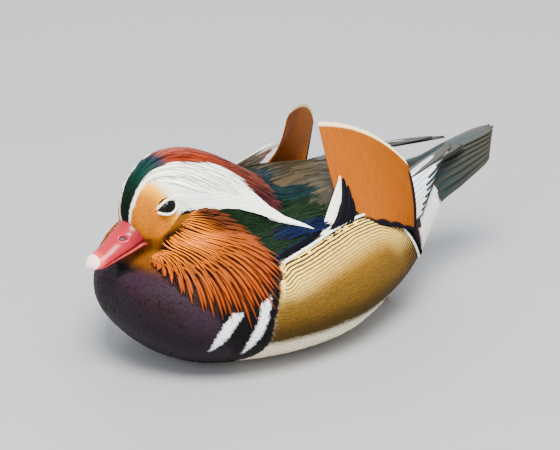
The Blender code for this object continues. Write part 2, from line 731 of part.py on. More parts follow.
def wing_feathers(skin, side, clear=0.0):
    """The covering feathers, flight feathers and white-edged plumes of one wing."""
    pieces = draped_locks(skin, SCAPULARS, (-0.8, 1.6), PLUME_THICKNESS, side, clear)
    for start, middle, tip, half in PRIMARIES:
        pieces.append(vane(start, middle, tip, half, side, 4.0, clear))
    for (x, turn), middle, tip, half in WEDGE_PLUMES:
        start = skin.point(x, turn, -0.6)
        pieces.append(vane(start, middle, tip, half, side, 2.5, clear))
    return pieces


def make_wings(parts, cutters, looks, skin):
    """Folded wings as draped pads under their feathers, and the two raised sails."""
    over_wing = Skin([cutters.objects["whole_wing"], *skin.objects], AXIS_HEIGHT)
    for side, end in ((-1, "_left"), (1, "_right")):
        wing = solid("wing" + end, *wing_pad(skin, side), parts, looks["olive"])
        join_all(wing, wing_feathers(over_wing, side), "MANIFOLD")
        keep_side(wing, (0.0, side * GAP / 2, 0.0), (0.0, side, 0.0))
        for name in ("near_body", "near_neck", "near_crest"):
            cut_away(wing, cutters.objects[name], "MANIFOLD")
        keep_largest(wing)
        near_wing = solid("near_wing" + end, *wing_pad(skin, side), cutters, grow=GAP)
        join_all(near_wing, wing_feathers(over_wing, side, GAP), "MANIFOLD")
        sail = solid("sail" + end, *sail_piece(side), parts, looks["orange"])
        for name in ("near_body", "near_wing" + end):
            cut_away(sail, cutters.objects[name], "MANIFOLD")
        keep_largest(sail)


def sail_piece(side):
    """The great orange vane: a thin surface blended between its four edges."""
    count, columns = 9, 8
    front = bend((19, -48, 74), (22, -30, 99), (25.5, -14, 130), count)
    rear = bend((68, -54, 60), (70, -51, 82), (68.6, -45, 101), count)
    top = bend((25.5, -14, 130), (50, -29, 120.5), (68.6, -45, 101), columns)
    base = bend((19, -48, 74), (44, -54, 70), (68, -54, 60), columns)
    v = np.linspace(0.0, 1.0, count)[:, None, None]
    u = np.linspace(0.0, 1.0, columns)[None, :, None]
    across = (1 - u) * front[:, None] + u * rear[:, None]
    along = (1 - v) * base[None] + v * top[None]
    corners = (1 - u) * (1 - v) * base[0] + u * (1 - v) * base[-1]
    corners = corners + (1 - u) * v * top[0] + u * v * top[-1]
    face = across + along - corners
    slope_u = np.gradient(face, axis=1)
    slope_v = np.gradient(face, axis=0)
    normal = np.cross(slope_u, slope_v)
    normal /= np.linalg.norm(normal, axis=2)[:, :, None]
    bulge = 3.0 * np.sin(math.pi * u) * np.sin(math.pi * v)
    face = face - normal * bulge
    half = 0.25 + 0.35 * (1 - v)
    points, faces = sheet(face + normal * half, face - normal * half)
    return mirrored(points, side), faces


def tail_coverts(skin):
    """The pad over the rump's end that the tail feathers spring from."""
    rows = ((101, 40, 140), (108, 6, 174), (116, -2, 182), (125, 2, 178), (132, 30, 150))
    return pad(skin, rows, 1.8, 9, sunk=1.0)


def make_tail(parts, cutters, looks, skin):
    """Tail feathers in tiers, the middle pair on top, under the coverts of the rump's end."""
    tail = solid("tail", *tail_coverts(skin), parts, looks["olive"])
    pieces = []
    for side in (-1, 1):
        for k in range(TAIL_PAIRS):
            x, turn = TAIL_START[0], TAIL_START[1] + k * TAIL_START_TURN
            start = skin.point(x, turn, 1.2)
            tip = TAIL_TIP + k * TAIL_TIP_STEP
            middle = (start + tip) / 2 + np.array([-3.0, 0.4 + 0.5 * k, 0.8 - 0.7 * k])
            pieces.append(vane(start, middle, tip, TAIL_HALF_WIDTH, side, 5.0))
    join_all(tail, pieces, "MANIFOLD")
    for name in ("near_body", "near_wing_left", "near_wing_right"):
        cut_away(tail, cutters.objects[name], "MANIFOLD")
    keep_largest(tail)


def make_legs(parts, cutters, looks):
    """Feet tucked under the rear of the belly, webs flat on the ground, toes forward."""
    near_body = cutters.objects["near_body"]
    for side, end in ((-1, "_left"), (1, "_right")):
        root = np.array([76.0, -14.0, 2.0])
        toes = ((48.0, -4.0, 1.2), (41.0, -13.0, 1.2), (47.0, -24.0, 1.2))
        pieces = []
        for tip in toes:
            path = bend(root, (root + tip) / 2 + (0, 0, 0.2), tip, 4)
            pieces.append(toe_piece(path, 2.2, 0.8, 3.6, 2.0, side))
        hind = bend(root + (2, 3, 0), root + (5, 5, -0.2), root + (9, 5, -0.8), 4)
        pieces.append(toe_piece(hind, 1.5, 0.6, 2.6, 1.4, side))
        tips = [np.array(tip) + (4.0, 0, 0) for tip in toes]
        web = mirrored([root + (3, 3, 0), *tips, root + (3, -3, 0)], side)
        pieces.append(prism(web, 0.0, 1.2))
        heel = ball(mirrored(root + (0, 0, 0.6), side), (4.0, 3.0, 2.8), 6, 8)
        foot = solid("foot" + end, *heel, parts, looks["web"])
        join_all(foot, pieces)
        keep_side(foot, (0, 0, 0), (0, 0, 1))
        near_foot = solid("near_foot" + end, *heel, cutters, grow=GAP)
        path = bend(root + (1, 0, 1), root + (8, -2, 7), root + (12, -3, 16), 7)
        outward = np.tile([0.8, 0.0, 0.6], (7, 1))
        shank = strip(path, outward, np.linspace(2.0, 4.5, 7), np.linspace(4.0, 8.0, 7), OVAL)
        leg = solid("leg" + end, mirrored(shank[0], side), shank[1], parts, looks["web"])
        cut_away(leg, near_foot)
        cut_away(leg, near_body)
        keep_largest(leg)
        cut_away(foot, near_body)
        keep_largest(foot)


def toe_piece(path, half_root, half_tip, thick_root, thick_tip, side):
    upward = np.tile([0.0, 0.0, 1.0], (len(path), 1))
    count = len(path)
    toe = strip(path, upward, np.linspace(half_root, half_tip, count),
                np.linspace(thick_root, thick_tip, count), PLATE)
    return floored(mirrored(toe[0], side)), toe[1]


def floored(points):
    """Points with none lower than the ground."""
    return np.column_stack([points[:, 0], points[:, 1], np.maximum(points[:, 2], 0.0)])


def prism(outline, low, high):
    """An upright slab on a flat outline."""
    count = len(outline)
    points = [(p[0], p[1], low) for p in outline] + [(p[0], p[1], high) for p in outline]
    faces = [tuple(range(count)), tuple(range(2 * count - 1, count - 1, -1))]
    faces += [(k, (k + 1) % count, count + (k + 1) % count, count + k) for k in range(count)]
    return points, faces


def build():
    clear_scene()
    parts = bpy.data.collections.new("mandarin_duck")
    cutters = bpy.data.collections.new("clearances")
    for group in (parts, cutters):
        bpy.context.scene.collection.children.link(group)
    looks = {
        "maroon": material("maroon_breast", (0.11, 0.03, 0.06), 0.55),
        "olive": material("olive_feathers", (0.16, 0.13, 0.07), 0.6),
        "white": material("white_down", (0.85, 0.83, 0.78), 0.75),
        "buff": material("buff_flank", (0.62, 0.44, 0.16), 0.65),
        "green": material("green_neck", (0.01, 0.12, 0.09), 0.45),
        "rust": material("rust_hackles", (0.62, 0.2, 0.05), 0.6),
        "orange": material("orange_sail", (0.7, 0.3, 0.07), 0.6),
        "coral": material("coral_bill", (0.72, 0.1, 0.09), 0.35),
        "nail": material("pale_nail", (0.85, 0.7, 0.66), 0.35),
        "eye": material("dark_eye", (0.01, 0.008, 0.006), 0.05),
        "web": material("ochre_foot", (0.6, 0.32, 0.08), 0.5),
    }
    body_shape = closed_loft(body_rings(BODY_RINGS, BODY_SIDES))
    head_shape = closed_loft(tilted_rings(HEAD_STATIONS, HEAD_RINGS, HEAD_SIDES))
    solid("near_body", *body_shape, cutters, grow=GAP)
    whole_head = solid("whole_head", *head_shape, cutters)
    whole_body = solid("whole_body", *body_shape, cutters)
    skin = Skin([whole_body, whole_head], AXIS_HEIGHT)
    solid("whole_wing", *wing_pad(skin, -1), cutters)
    make_body(parts, looks)
    make_neck(parts, cutters, looks, skin)
    make_head(parts, cutters, looks, skin)
    make_bill(parts, cutters, looks)
    make_wings(parts, cutters, looks, skin)
    make_tail(parts, cutters, looks, skin)
    make_legs(parts, cutters, looks)
    for cutter in cutters.objects:
        cutter.hide_render = True
        cutter.display_type = "WIRE"
    for made in parts.objects:
        made.data.shade_smooth()
        made.data.set_sharp_from_angle(angle=math.radians(35))


build()
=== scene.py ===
"""A mandarin duck drake at life size, afloat with its neck drawn in, dressed over its solids.

The bird looks along -X, its left side is towards -Y and the floor is Z = 0.  Shapes are worked
out in millimetres and put into metres where a mesh is made.
"""

import math
import bpy
import numpy as np
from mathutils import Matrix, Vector
from mathutils.bvhtree import BVHTree


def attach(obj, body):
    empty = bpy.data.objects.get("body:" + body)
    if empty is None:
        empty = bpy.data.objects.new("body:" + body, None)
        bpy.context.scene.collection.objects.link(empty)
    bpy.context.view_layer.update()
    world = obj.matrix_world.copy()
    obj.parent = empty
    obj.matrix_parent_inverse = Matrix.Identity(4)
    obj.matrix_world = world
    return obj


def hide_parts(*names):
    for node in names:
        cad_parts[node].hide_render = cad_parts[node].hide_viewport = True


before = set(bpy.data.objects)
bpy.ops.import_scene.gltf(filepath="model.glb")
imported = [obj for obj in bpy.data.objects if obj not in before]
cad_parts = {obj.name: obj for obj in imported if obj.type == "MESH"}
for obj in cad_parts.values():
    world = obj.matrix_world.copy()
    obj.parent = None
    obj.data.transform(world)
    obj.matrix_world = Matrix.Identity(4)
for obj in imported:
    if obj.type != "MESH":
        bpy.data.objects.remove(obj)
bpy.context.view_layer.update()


# Floor, daylight and camera.  A plain pale sheet runs out past every view, a wide soft lamp
# hangs over the bird's left shoulder, and the camera looks down on its left front.
def srgb(red, green, blue):
    """Base colour that the picture shows as this screen colour in full light.  The film curve
    is undone: the channels are mixed, raised along the curve's slope, unmixed and divided by
    the light that falls on the bird."""
    mixing = np.array([[0.691, 0.239, 0.070], [0.084, 0.841, 0.075], [0.092, 0.186, 0.722]])
    unmixing = np.array([[1.563, -0.472, -0.091], [-0.169, 1.409, -0.240],
                         [-0.119, -0.248, 1.367]])
    v = mixing @ (np.array([red, green, blue], float) / 255.0)
    light = np.exp(-2.973 + 6.356 * v - 9.740 * v**2 + 9.012 * v**3) * v**0.656
    base = unmixing @ light / 3.1
    return np.clip(base / max(1.0, base.max() / 0.92), 0.002, 0.92)


floor_mesh = bpy.data.meshes.new("floor")
floor_mesh.from_pydata([(-9, -9, 0), (9, -9, 0), (9, 9, 0), (-9, 9, 0)], [], [(0, 1, 2, 3)])
floor = bpy.data.objects.new("floor", floor_mesh)
bpy.context.scene.collection.objects.link(floor)
floor_look = bpy.data.materials.new("pale_floor")
floor_look.use_nodes = True
floor_shader = floor_look.node_tree.nodes["Principled BSDF"]
floor_shader.inputs["Base Color"].default_value = (0.31, 0.31, 0.317, 1.0)
floor_shader.inputs["Roughness"].default_value = 0.85
floor_mesh.materials.append(floor_look)

world = bpy.data.worlds.new("studio")
world.use_nodes = True
world.node_tree.nodes["Background"].inputs["Color"].default_value = (0.86, 0.92, 1.0, 1.0)
world.node_tree.nodes["Background"].inputs["Strength"].default_value = 1.3
bpy.context.scene.world = world
for name, place, size, power, colour in (
    ("top_lamp", (-0.5, -0.8, 1.9), 1.0, 127.0, (1.0, 0.98, 0.95)),
    ("side_lamp", (-1.6, -0.7, 0.8), 0.9, 18.0, (1.0, 0.99, 0.97)),
    ("back_lamp", (1.1, 1.5, 1.3), 1.2, 26.0, (0.95, 0.98, 1.0)),
):
    lamp_data = bpy.data.lights.new(name, "AREA")
    lamp_data.size = size
    lamp_data.energy = power
    lamp_data.color = colour
    lamp = bpy.data.objects.new(name, lamp_data)
    lamp.location = place
    lamp.rotation_euler = (Vector((0, 0, 0.05)) - Vector(place)).to_track_quat("-Z", "Y").to_euler()
    bpy.context.scene.collection.objects.link(lamp)

camera_turn, camera_rise, camera_away = math.radians(-38.0), math.radians(24.0), 2.0
look_back = Vector((math.sin(camera_turn) * math.cos(camera_rise),
                    -math.cos(camera_turn) * math.cos(camera_rise), math.sin(camera_rise)))
look_right = Vector((math.cos(camera_turn), math.sin(camera_turn), 0.0))
look_up = look_back.cross(look_right)
camera_data = bpy.data.cameras.new("camera")
camera_data.sensor_width = 36.0
camera_data.lens = 3300.0 / 560.0 * 36.0
camera_data.clip_start = 0.05
camera_data.clip_end = 60.0
camera = bpy.data.objects.new("camera", camera_data)
camera.location = Vector((0, 0, 0.028)) + look_back * camera_away
look_at = Vector((0, 0, 0.028)) + look_right * 0.00545 + look_up * 0.0333
camera.rotation_euler = (look_at - camera.location).to_track_quat("-Z", "Y").to_euler()
bpy.context.scene.collection.objects.link(camera)
bpy.context.scene.camera = camera


# Skin of the head, neck and body: one unbroken hide that lies under all the feathers.  It is
# the blend of a body form and a head form, each a row of rounded cross sections.
MM = 0.001
AXIS_HEIGHT = 60.0
BODY = (
    (-118.0, 0.0, 47.0, 47.0, 47.0, 2.2, 2.2), (-115.0, 21.0, 60.0, 46.0, 33.0, 2.2, 2.2),
    (-106.0, 37.0, 70.0, 44.0, 21.0, 2.2, 2.2), (-93.0, 50.0, 77.0, 42.0, 9.0, 2.3, 2.2),
    (-75.0, 61.0, 81.0, 42.0, 2.0, 2.4, 2.3), (-50.0, 71.0, 84.0, 44.0, -1.0, 2.5, 2.4),
    (-20.0, 75.0, 86.0, 45.0, -3.0, 2.6, 2.5), (15.0, 72.0, 87.0, 45.0, -3.0, 2.6, 2.5),
    (45.0, 63.0, 85.0, 46.0, 4.5, 2.5, 2.4), (75.0, 49.0, 80.0, 48.0, 13.5, 2.4, 2.3),
    (100.0, 33.0, 76.0, 52.0, 27.0, 2.3, 2.2), (120.0, 21.0, 74.0, 58.0, 43.0, 2.2, 2.1),
    (134.0, 12.0, 73.0, 65.0, 57.0, 2.1, 2.0), (141.0, 0.0, 67.0, 67.0, 67.0, 2.0, 2.0),
)
HEAD = (
    (-106.0, 89.0, -106.0, 89.0, 0.0, 0.5, 2.2, 2.2),
    (-108.0, 96.0, -100.0, 80.0, 10.5, 0.5, 2.2, 2.2),
    (-107.0, 106.0, -93.0, 74.0, 15.0, 0.5, 2.2, 2.2),
    (-101.0, 118.0, -84.0, 68.0, 19.0, 0.5, 2.3, 2.2),
    (-91.0, 126.5, -73.0, 64.0, 22.0, 0.5, 2.3, 2.2),
    (-77.0, 129.5, -62.0, 61.0, 24.5, 0.52, 2.2, 2.2),
    (-61.0, 127.0, -52.0, 56.0, 29.0, 0.55, 2.0, 2.2),
    (-43.0, 118.5, -44.0, 46.0, 38.0, 0.6, 1.8, 2.2),
    (-24.0, 106.5, -38.0, 36.0, 47.0, 0.62, 1.7, 2.2),
    (-6.0, 94.0, -28.0, 32.0, 50.0, 0.6, 1.8, 2.2),
    (7.0, 83.0, -16.0, 40.0, 44.0, 0.5, 2.0, 2.2),
    (4.0, 62.0, 4.0, 62.0, 0.0, 0.5, 2.2, 2.2),
)


def smooth_rows(stations, count):
    """Cubic curve through the stations, its slope at each the mean of its two sides."""
    rows = np.array(stations, float)
    step = np.linalg.norm(np.diff(rows[:, :5], axis=0), axis=1)
    knots = np.concatenate([[0.0], np.cumsum(np.sqrt(step))])
    slope = np.gradient(rows, knots, axis=0)
    at = np.linspace(0.0, knots[-1], count)
    i = np.clip(np.searchsorted(knots, at, side="right") - 1, 0, len(rows) - 2)
    span = (knots[i + 1] - knots[i])[:, None]
    t = (at - knots[i])[:, None] / span
    out = (2 * t**3 - 3 * t**2 + 1) * rows[i] + (t**3 - 2 * t**2 + t) * span * slope[i]
    return out + (3 * t**2 - 2 * t**3) * rows[i + 1] + (t**3 - t**2) * span * slope[i + 1]


def round_power(value, power):
    return np.sign(value) * np.abs(value) ** (2.0 / power)


def body_rings(count, sides):
    """Upright superellipses: half width times cos, and above and below the widest line sin."""
    x, half, top, wide, under, above, below = smooth_rows(BODY, count).T[:, :, None]
    half = np.maximum(half, 0.0)
    turn = np.linspace(0.0, 2 * math.pi, sides, endpoint=False)[None, :]
    power = np.where(np.sin(turn) >= 0, above, below)
    rise = round_power(np.sin(turn), power)
    y = half * round_power(np.cos(turn), power)
    z = wide + np.where(rise >= 0, (top - wide) * rise, (wide - under) * rise)
    return np.stack([x + 0 * y, y, np.maximum(z, 0.0)], -1)


def tilted_rings(stations, count, sides):
    """Superellipses, each in the plane from its top point to its bottom point."""
    rows = smooth_rows(stations, count)
    top_x, top_z, low_x, low_z, half, wide, above, below = rows.T[:, :, None]
    half = np.maximum(half, 0.0)
    turn = np.linspace(0.0, 2 * math.pi, sides, endpoint=False)[None, :]
    power = np.where(np.sin(turn) >= 0, above, below)
    rise = round_power(np.sin(turn), power)
    y = half * round_power(np.cos(turn), power)
    down = np.where(rise >= 0, wide * (1 - rise), wide - (1 - wide) * rise)
    return np.stack([top_x + (low_x - top_x) * down, y, top_z + (low_z - top_z) * down], -1)


def loft_faces(count, sides):
    """Quads between rings in order, each ring closed on itself; the end rings stay open."""
    i, j = np.meshgrid(np.arange(count - 1), np.arange(sides), indexing="ij")
    k = (j + 1) % sides
    quads = np.stack([i * sides + j, i * sides + k, (i + 1) * sides + k, (i + 1) * sides + j], -1)
    return quads.reshape(-1, 4)


def new_mesh(name, points, faces):
    """A mesh in metres from points in millimetres and faces of one kind."""
    mesh = bpy.data.meshes.new(name)
    points = np.ascontiguousarray(points, dtype=np.float32).reshape(-1, 3) * MM
    faces = np.ascontiguousarray(faces, dtype=np.int32)
    mesh.vertices.add(len(points))
    mesh.vertices.foreach_set("co", points.ravel())
    mesh.loops.add(faces.size)
    mesh.loops.foreach_set("vertex_index", faces.ravel())
    mesh.polygons.add(len(faces))
    mesh.polygons.foreach_set("loop_start", np.arange(0, faces.size, faces.shape[1]))
    mesh.update(calc_edges=True)
    mesh.validate()
    mesh.shade_smooth()
    return mesh


def outward(mesh):
    """Turns a closed mesh's faces outwards, after its doubled points are merged."""
    work = bmesh.new()
    work.from_mesh(mesh)
    bmesh.ops.remove_doubles(work, verts=work.verts, dist=1e-6)
    bmesh.ops.recalc_face_normals(work, faces=work.faces)
    if work.calc_volume(signed=True) < 0:
        bmesh.ops.reverse_faces(work, faces=work.faces)
    work.to_mesh(mesh)
    work.free()


def finish_modifiers(made):
    bpy.context.view_layer.update()
    graph = bpy.context.evaluated_depsgraph_get()
    made.data = bpy.data.meshes.new_from_object(made.evaluated_get(graph))
    made.modifiers.clear()


def mesh_points(mesh):
    points = np.empty(len(mesh.vertices) * 3, np.float32)
    mesh.vertices.foreach_get("co", points)
    return points.reshape(-1, 3).astype(float) / MM


def smoothstep(low, high, value):
    t = np.clip((value - low) / (high - low), 0.0, 1.0)
    return t * t * (3 - 2 * t)


import bmesh

blend_points, blend_faces = [], []
for rings in (body_rings(150, 100), tilted_rings(HEAD, 120, 90)):
    start = sum(len(p) for p in blend_points)
    blend_points.append(rings.reshape(-1, 3))
    blend_faces.append(loft_faces(*rings.shape[:2]) + start)
skin = bpy.data.objects.new("skin", new_mesh("skin", np.vstack(blend_points),
                                             np.vstack(blend_faces)))
bpy.context.scene.collection.objects.link(skin)
outward(skin.data)
remesh = skin.modifiers.new("blend", "REMESH")
remesh.mode = "VOXEL"
remesh.voxel_size = 0.0014
soften = skin.modifiers.new("soften", "SMOOTH")
soften.factor = 0.5
soften.iterations = 10
finish_modifiers(skin)


# Markings: where each colour of the plumage begins and ends.  Every outline is drawn on the
# left side by x and by the turn in degrees up from the side about the bird's long axis.
BAND = ((-107, 84), (-97, 84), (-86.5, 82), (-74.5, 80), (-62, 79), (-44, 79), (-37, 73),
        (-34, 60), (-30, 46), (-22, 36), (-9, 21), (-18, 28), (-29, 39), (-37, 48),
        (-47, 52), (-59, 56), (-71, 60), (-82, 63), (-90, 58), (-97, 56), (-103, 60), (-108, 72))
CREST = ((-112, 96), (-108, 86), (-97, 84.5), (-86.5, 82.5), (-74.5, 80.5), (-62, 79.5),
         (-44, 79.5), (-37, 73), (-34, 61), (-30, 49), (-24, 38), (-15, 41),
         (-5.6, 50), (-0.5, 61), (3, 77), (3, 96))
NAPE = ((-60, 54), (-46, 36), (-43, 10), (-39, 11), (-27, 14.5), (-12, 15), (2, 17), (6, 22),
        (16, 38), (31, 53), (24, 61), (12, 67), (3, 80), (3, 96), (-60, 96))
RUFF = ((-98, 62), (-100.5, 35), (-100.5, 22), (-98, 0), (-91, -8), (-83, -11), (-67, -11),
        (-54, -4), (-42, 4), (-42, 15), (-45, 33), (-54, 47), (-62, 55), (-74, 60), (-86, 62),
        (-92, 63))
FLANK = ((-43, 8), (-37.5, 11), (-24.5, 13), (-12.6, 15), (2, 17.5), (17, 19.5), (30, 20),
         (41.5, 19), (51, 15), (59, 8), (66, -3), (76, -19), (88, -40), (96, -95), (-64, -95),
         (-58, -50), (-52, -28), (-51, -15), (-48, -6), (-45, 2))
FLANK_TOP = FLANK[:12]
BAR_FRONT = ((-67, -3), (-70.5, -9), (-72.4, -12), (-77.3, -19.6), (-81.1, -28.2), (-86, -45))
BAR_REAR = ((-53, 2), (-55.9, -5), (-57.8, -14), (-60.3, -20.7), (-63, -27.3), (-68, -45))
EYE_ARC = ((-62, 57), (-70, 59), (-78.3, 60.5), (-86.3, 61), (-92, 61.5), (-96.3, 61), (-98.5, 52), (-100, 40))


def inside(outline, x, turn):
    """Distance to the nearest side of an outline, positive where the even-odd rule is inside."""
    a = np.array(outline, float)
    b = np.roll(a, -1, axis=0)
    gap = np.full(len(x), 1e9)
    odd = np.zeros(len(x), bool)
    for (ax, at), (bx, bt) in zip(a, b):
        along = ((x - ax) * (bx - ax) + (turn - at) * (bt - at)) / ((bx - ax)**2 + (bt - at)**2)
        along = np.clip(along, 0.0, 1.0)
        gap = np.minimum(gap, np.hypot(x - ax - along * (bx - ax), turn - at - along * (bt - at)))
        if at != bt:
            crosses = (at > turn) != (bt > turn)
            odd ^= crosses & (x < (bx - ax) * (turn - at) / (bt - at) + ax)
    return np.where(odd, gap, -gap)


def near_line(line, x, turn):
    """Distance to an open line in the plane of x and turn."""
    gap = np.full(len(x), 1e9)
    for (ax, at), (bx, bt) in zip(line[:-1], line[1:]):
        along = ((x - ax) * (bx - ax) + (turn - at) * (bt - at)) / ((bx - ax)**2 + (bt - at)**2)
        along = np.clip(along, 0.0, 1.0)
        gap = np.minimum(gap, np.hypot(x - ax - along * (bx - ax), turn - at - along * (bt - at)))
    return gap


def turn_of(points):
    """Degrees up from the side, about the line at the axis height, alike on both sides."""
    return np.degrees(np.arctan2(points[:, 2] - AXIS_HEIGHT, np.abs(points[:, 1])))


def paint(colour, other, amount):
    """Lays another colour over the first by an amount for each place."""
    return colour + (np.asarray(other) - colour) * amount[:, None]


def markings(points):
    """Colour of the plumage at each place, laid on region over region."""
    x, y, z = points.T
    turn = turn_of(points)
    crown = turn + np.where(y > 0, 4.5, 0.0) * smoothstep(-82, -96, x)
    colour = np.tile(srgb(240, 237, 230), (len(points), 1))
    body_top = smoothstep(14, 22, turn) * smoothstep(-30, -10, x)
    colour = paint(colour, srgb(112, 92, 62), body_top)
    rear = smoothstep(72, 76, x + 0.25 * turn)
    colour = paint(colour, srgb(86, 70, 52), rear * smoothstep(30, 38, turn))
    colour = paint(colour, srgb(242, 242, 240), rear * smoothstep(38, 30, turn))
    colour = paint(colour, srgb(242, 242, 240), smoothstep(122, 127, x))
    streak = smoothstep(62, 66, x) * smoothstep(80, 76, x + 0.25 * turn) * smoothstep(16, 8, turn)
    colour = paint(colour, srgb(66, 26, 40), streak * smoothstep(20, 28, z))
    flank = inside(FLANK, x, turn)
    buff = paint(np.tile(srgb(234, 222, 192), (len(points), 1)), srgb(190, 152, 76),
                 smoothstep(4, 22, flank) * smoothstep(-46, -10, x))
    # The lower flank turns deeper buff and then dark brown towards the water: painted shade under the curve of
    # the body.
    buff = paint(buff, srgb(178, 140, 66), smoothstep(62, 46, z))
    buff = paint(buff, srgb(112, 76, 26), smoothstep(46, 28, z) * 0.9)
    colour = paint(colour, buff, smoothstep(-0.5, 0.5, flank) * smoothstep(20, 26, z))
    top_edge = near_line(FLANK_TOP, x, turn)
    on_top = smoothstep(6.5, 5.5, top_edge) * smoothstep(-40, -36, x)
    colour = paint(colour, srgb(14, 14, 22), smoothstep(-4.2, -3.6, flank) * on_top
                   * smoothstep(0.2, -0.2, flank))
    front = smoothstep(0.5, -0.5, flank) * smoothstep(-34, -44, x)
    maroon = paint(np.tile(srgb(70, 44, 62), (len(points), 1)), srgb(100, 44, 30),
                   smoothstep(62, 74, z) * smoothstep(-88, -104, x))
    # Low on the front of the breast and over its underside the maroon is painted darker: painted shade under
    # the breast.
    maroon = paint(maroon, srgb(44, 16, 24), smoothstep(-88, -108, x) * smoothstep(66, 50, z))
    maroon = paint(maroon, srgb(40, 30, 40), smoothstep(-12, -32, turn) * 0.8)
    colour = paint(colour, maroon, front)
    dark = front * smoothstep(-84, -78, x + (turn + 17) * 0.5)
    colour = paint(colour, srgb(12, 11, 15), dark)
    for line in (BAR_FRONT, BAR_REAR):
        near = near_line(line, x, turn) + smoothstep(-25, -42, turn) * 3
        colour = paint(colour, srgb(246, 246, 246), front * smoothstep(2.8, 2.2, near))
    nape = smoothstep(-0.5, 0.5, inside(NAPE, x, turn)) * smoothstep(62, 68, z)
    green = paint(np.tile(srgb(28, 52, 28), (len(points), 1)), srgb(4, 40, 44),
                  smoothstep(-22, 4, x))
    green = paint(green, srgb(16, 36, 84), smoothstep(6.0, 4.0, top_edge - 0.05 * (x + 12)))
    colour = paint(colour, green, nape)
    ruff = smoothstep(-0.5, 0.5, inside(RUFF, x, turn))
    hackle = paint(np.tile(srgb(52, 22, 10), (len(points), 1)), srgb(190, 130, 52),
                   smoothstep(7, 2, near_line(EYE_ARC, x, turn)))
    colour = paint(colour, hackle, ruff)
    head = smoothstep(66, 72, z) * smoothstep(-40, -50, x)
    throat = smoothstep(88, 83, z) * smoothstep(-90, -94, x)
    crest = smoothstep(-0.4, 0.4, inside(CREST, x, crown)) * (1 - throat)
    sheen = paint(np.tile(srgb(14, 30, 18), (len(points), 1)), srgb(8, 66, 54),
                  smoothstep(-106, -97, x))
    sheen = paint(sheen, srgb(38, 58, 84), smoothstep(-92, -87, x))
    sheen = paint(sheen, srgb(204, 84, 42), smoothstep(-86, -79, x))
    sheen = paint(sheen, srgb(168, 66, 40), smoothstep(-60, -30, x))
    sheen = paint(sheen, srgb(104, 34, 30), np.maximum(smoothstep(74, 56, turn),
                                                      smoothstep(-16, 0, x)))
    colour = paint(colour, sheen, crest)
    band = smoothstep(-0.4, 0.4, inside(BAND, x, crown)) * (1 - throat)
    pale = np.maximum(smoothstep(-100, -84, x + (turn - 72) * 0.62), smoothstep(-79, -73, x))
    face = paint(np.tile(srgb(220, 168, 50), (len(points), 1)), srgb(244, 222, 160),
                 smoothstep(0.0, 0.55, pale))
    face = paint(face, srgb(251, 251, 249), smoothstep(0.45, 1.0, pale))
    colour = paint(colour, face, band * smoothstep(66, 70, z))
    chin = smoothstep(66, 72, z) * smoothstep(-86, -92, x) * (1 - crest) * (1 - band)
    colour = paint(colour, srgb(178, 104, 36), chin * (1 - ruff)
                   * np.maximum(smoothstep(64, 56, turn), throat))
    brow = smoothstep(1.7, 1.0, near_line(BAND[:4], x, crown)) * (1 - throat) * head
    return paint(colour, srgb(250, 248, 244), brow)


def give_tint(mesh, colours):
    """Stores one colour for each point of the mesh under the name tint."""
    layer = mesh.color_attributes.new("tint", "FLOAT_COLOR", "POINT")
    full = np.ones((len(colours), 4), np.float32)
    full[:, :3] = colours
    layer.data.foreach_set("color", full.ravel())


def give_rule(mesh, points):
    """Stores how far inside the upper edge of the flank each point is, for its fine lines."""
    layer = mesh.attributes.new("rule", "FLOAT", "POINT")
    turn = turn_of(points)
    depth = near_line(FLANK_TOP, points[:, 0], turn) * 1.15
    depth = np.where(inside(FLANK, points[:, 0], turn) > 0, depth, -depth)
    layer.data.foreach_set("value", depth.astype(np.float32))


COAT_DEPTH = 1.2
skin_points = mesh_points(skin.data)
normals = np.empty(len(skin_points) * 3, np.float32)
skin.data.vertices.foreach_get("normal", normals)
normals = normals.reshape(-1, 3)
skin_turn = turn_of(skin_points)
swell = 1.8 * smoothstep(-2, 8, inside(RUFF, skin_points[:, 0], skin_turn))
swell += 1.4 * smoothstep(0, 6, inside(CREST, skin_points[:, 0], skin_turn))
swell *= smoothstep(64, 72, skin_points[:, 2])
low = smoothstep(0, 8, skin_points[:, 2])
skin_points += normals * (swell - COAT_DEPTH * low)[:, None]
skin.data.vertices.foreach_set("co", (skin_points * MM).astype(np.float32).ravel())
give_tint(skin.data, markings(skin_points))
give_rule(skin.data, skin_points)


def noise_bump(nodes, links, scale, strength, distance):
    """Fine grain on object coordinates, as a bump."""
    place = nodes.new("ShaderNodeTexCoord")
    grain = nodes.new("ShaderNodeTexNoise")
    grain.inputs["Scale"].default_value = scale
    grain.inputs["Detail"].default_value = 3.0
    bump = nodes.new("ShaderNodeBump")
    bump.inputs["Strength"].default_value = strength
    bump.inputs["Distance"].default_value = distance
    links.new(place.outputs["Object"], grain.inputs["Vector"])
    links.new(grain.outputs["Fac"], bump.inputs["Height"])
    return grain, bump


def scaled_by(nodes, links, colour, factor):
    """A colour times a number, for each place on the surface."""
    product = nodes.new("ShaderNodeVectorMath")
    product.operation = "SCALE"
    links.new(colour, product.inputs[0])
    links.new(factor, product.inputs["Scale"])
    return product.outputs["Vector"]


def ranged(nodes, links, value, low, high, at_low, at_high):
    """A straight ramp from one number to another between two limits of a value."""
    ramp = nodes.new("ShaderNodeMapRange")
    ramp.inputs["From Min"].default_value = low
    ramp.inputs["From Max"].default_value = high
    ramp.inputs["To Min"].default_value = at_low
    ramp.inputs["To Max"].default_value = at_high
    links.new(value, ramp.inputs["Value"])
    return ramp.outputs["Result"]


def counted(nodes, links, operation, value, other):
    """One step of arithmetic on a value; the other may be a number or a socket."""
    step = nodes.new("ShaderNodeMath")
    step.operation = operation
    links.new(value, step.inputs[0])
    if isinstance(other, (int, float)):
        step.inputs[1].default_value = other
    elif other is not None:
        links.new(other, step.inputs[1])
    return step.outputs["Value"]


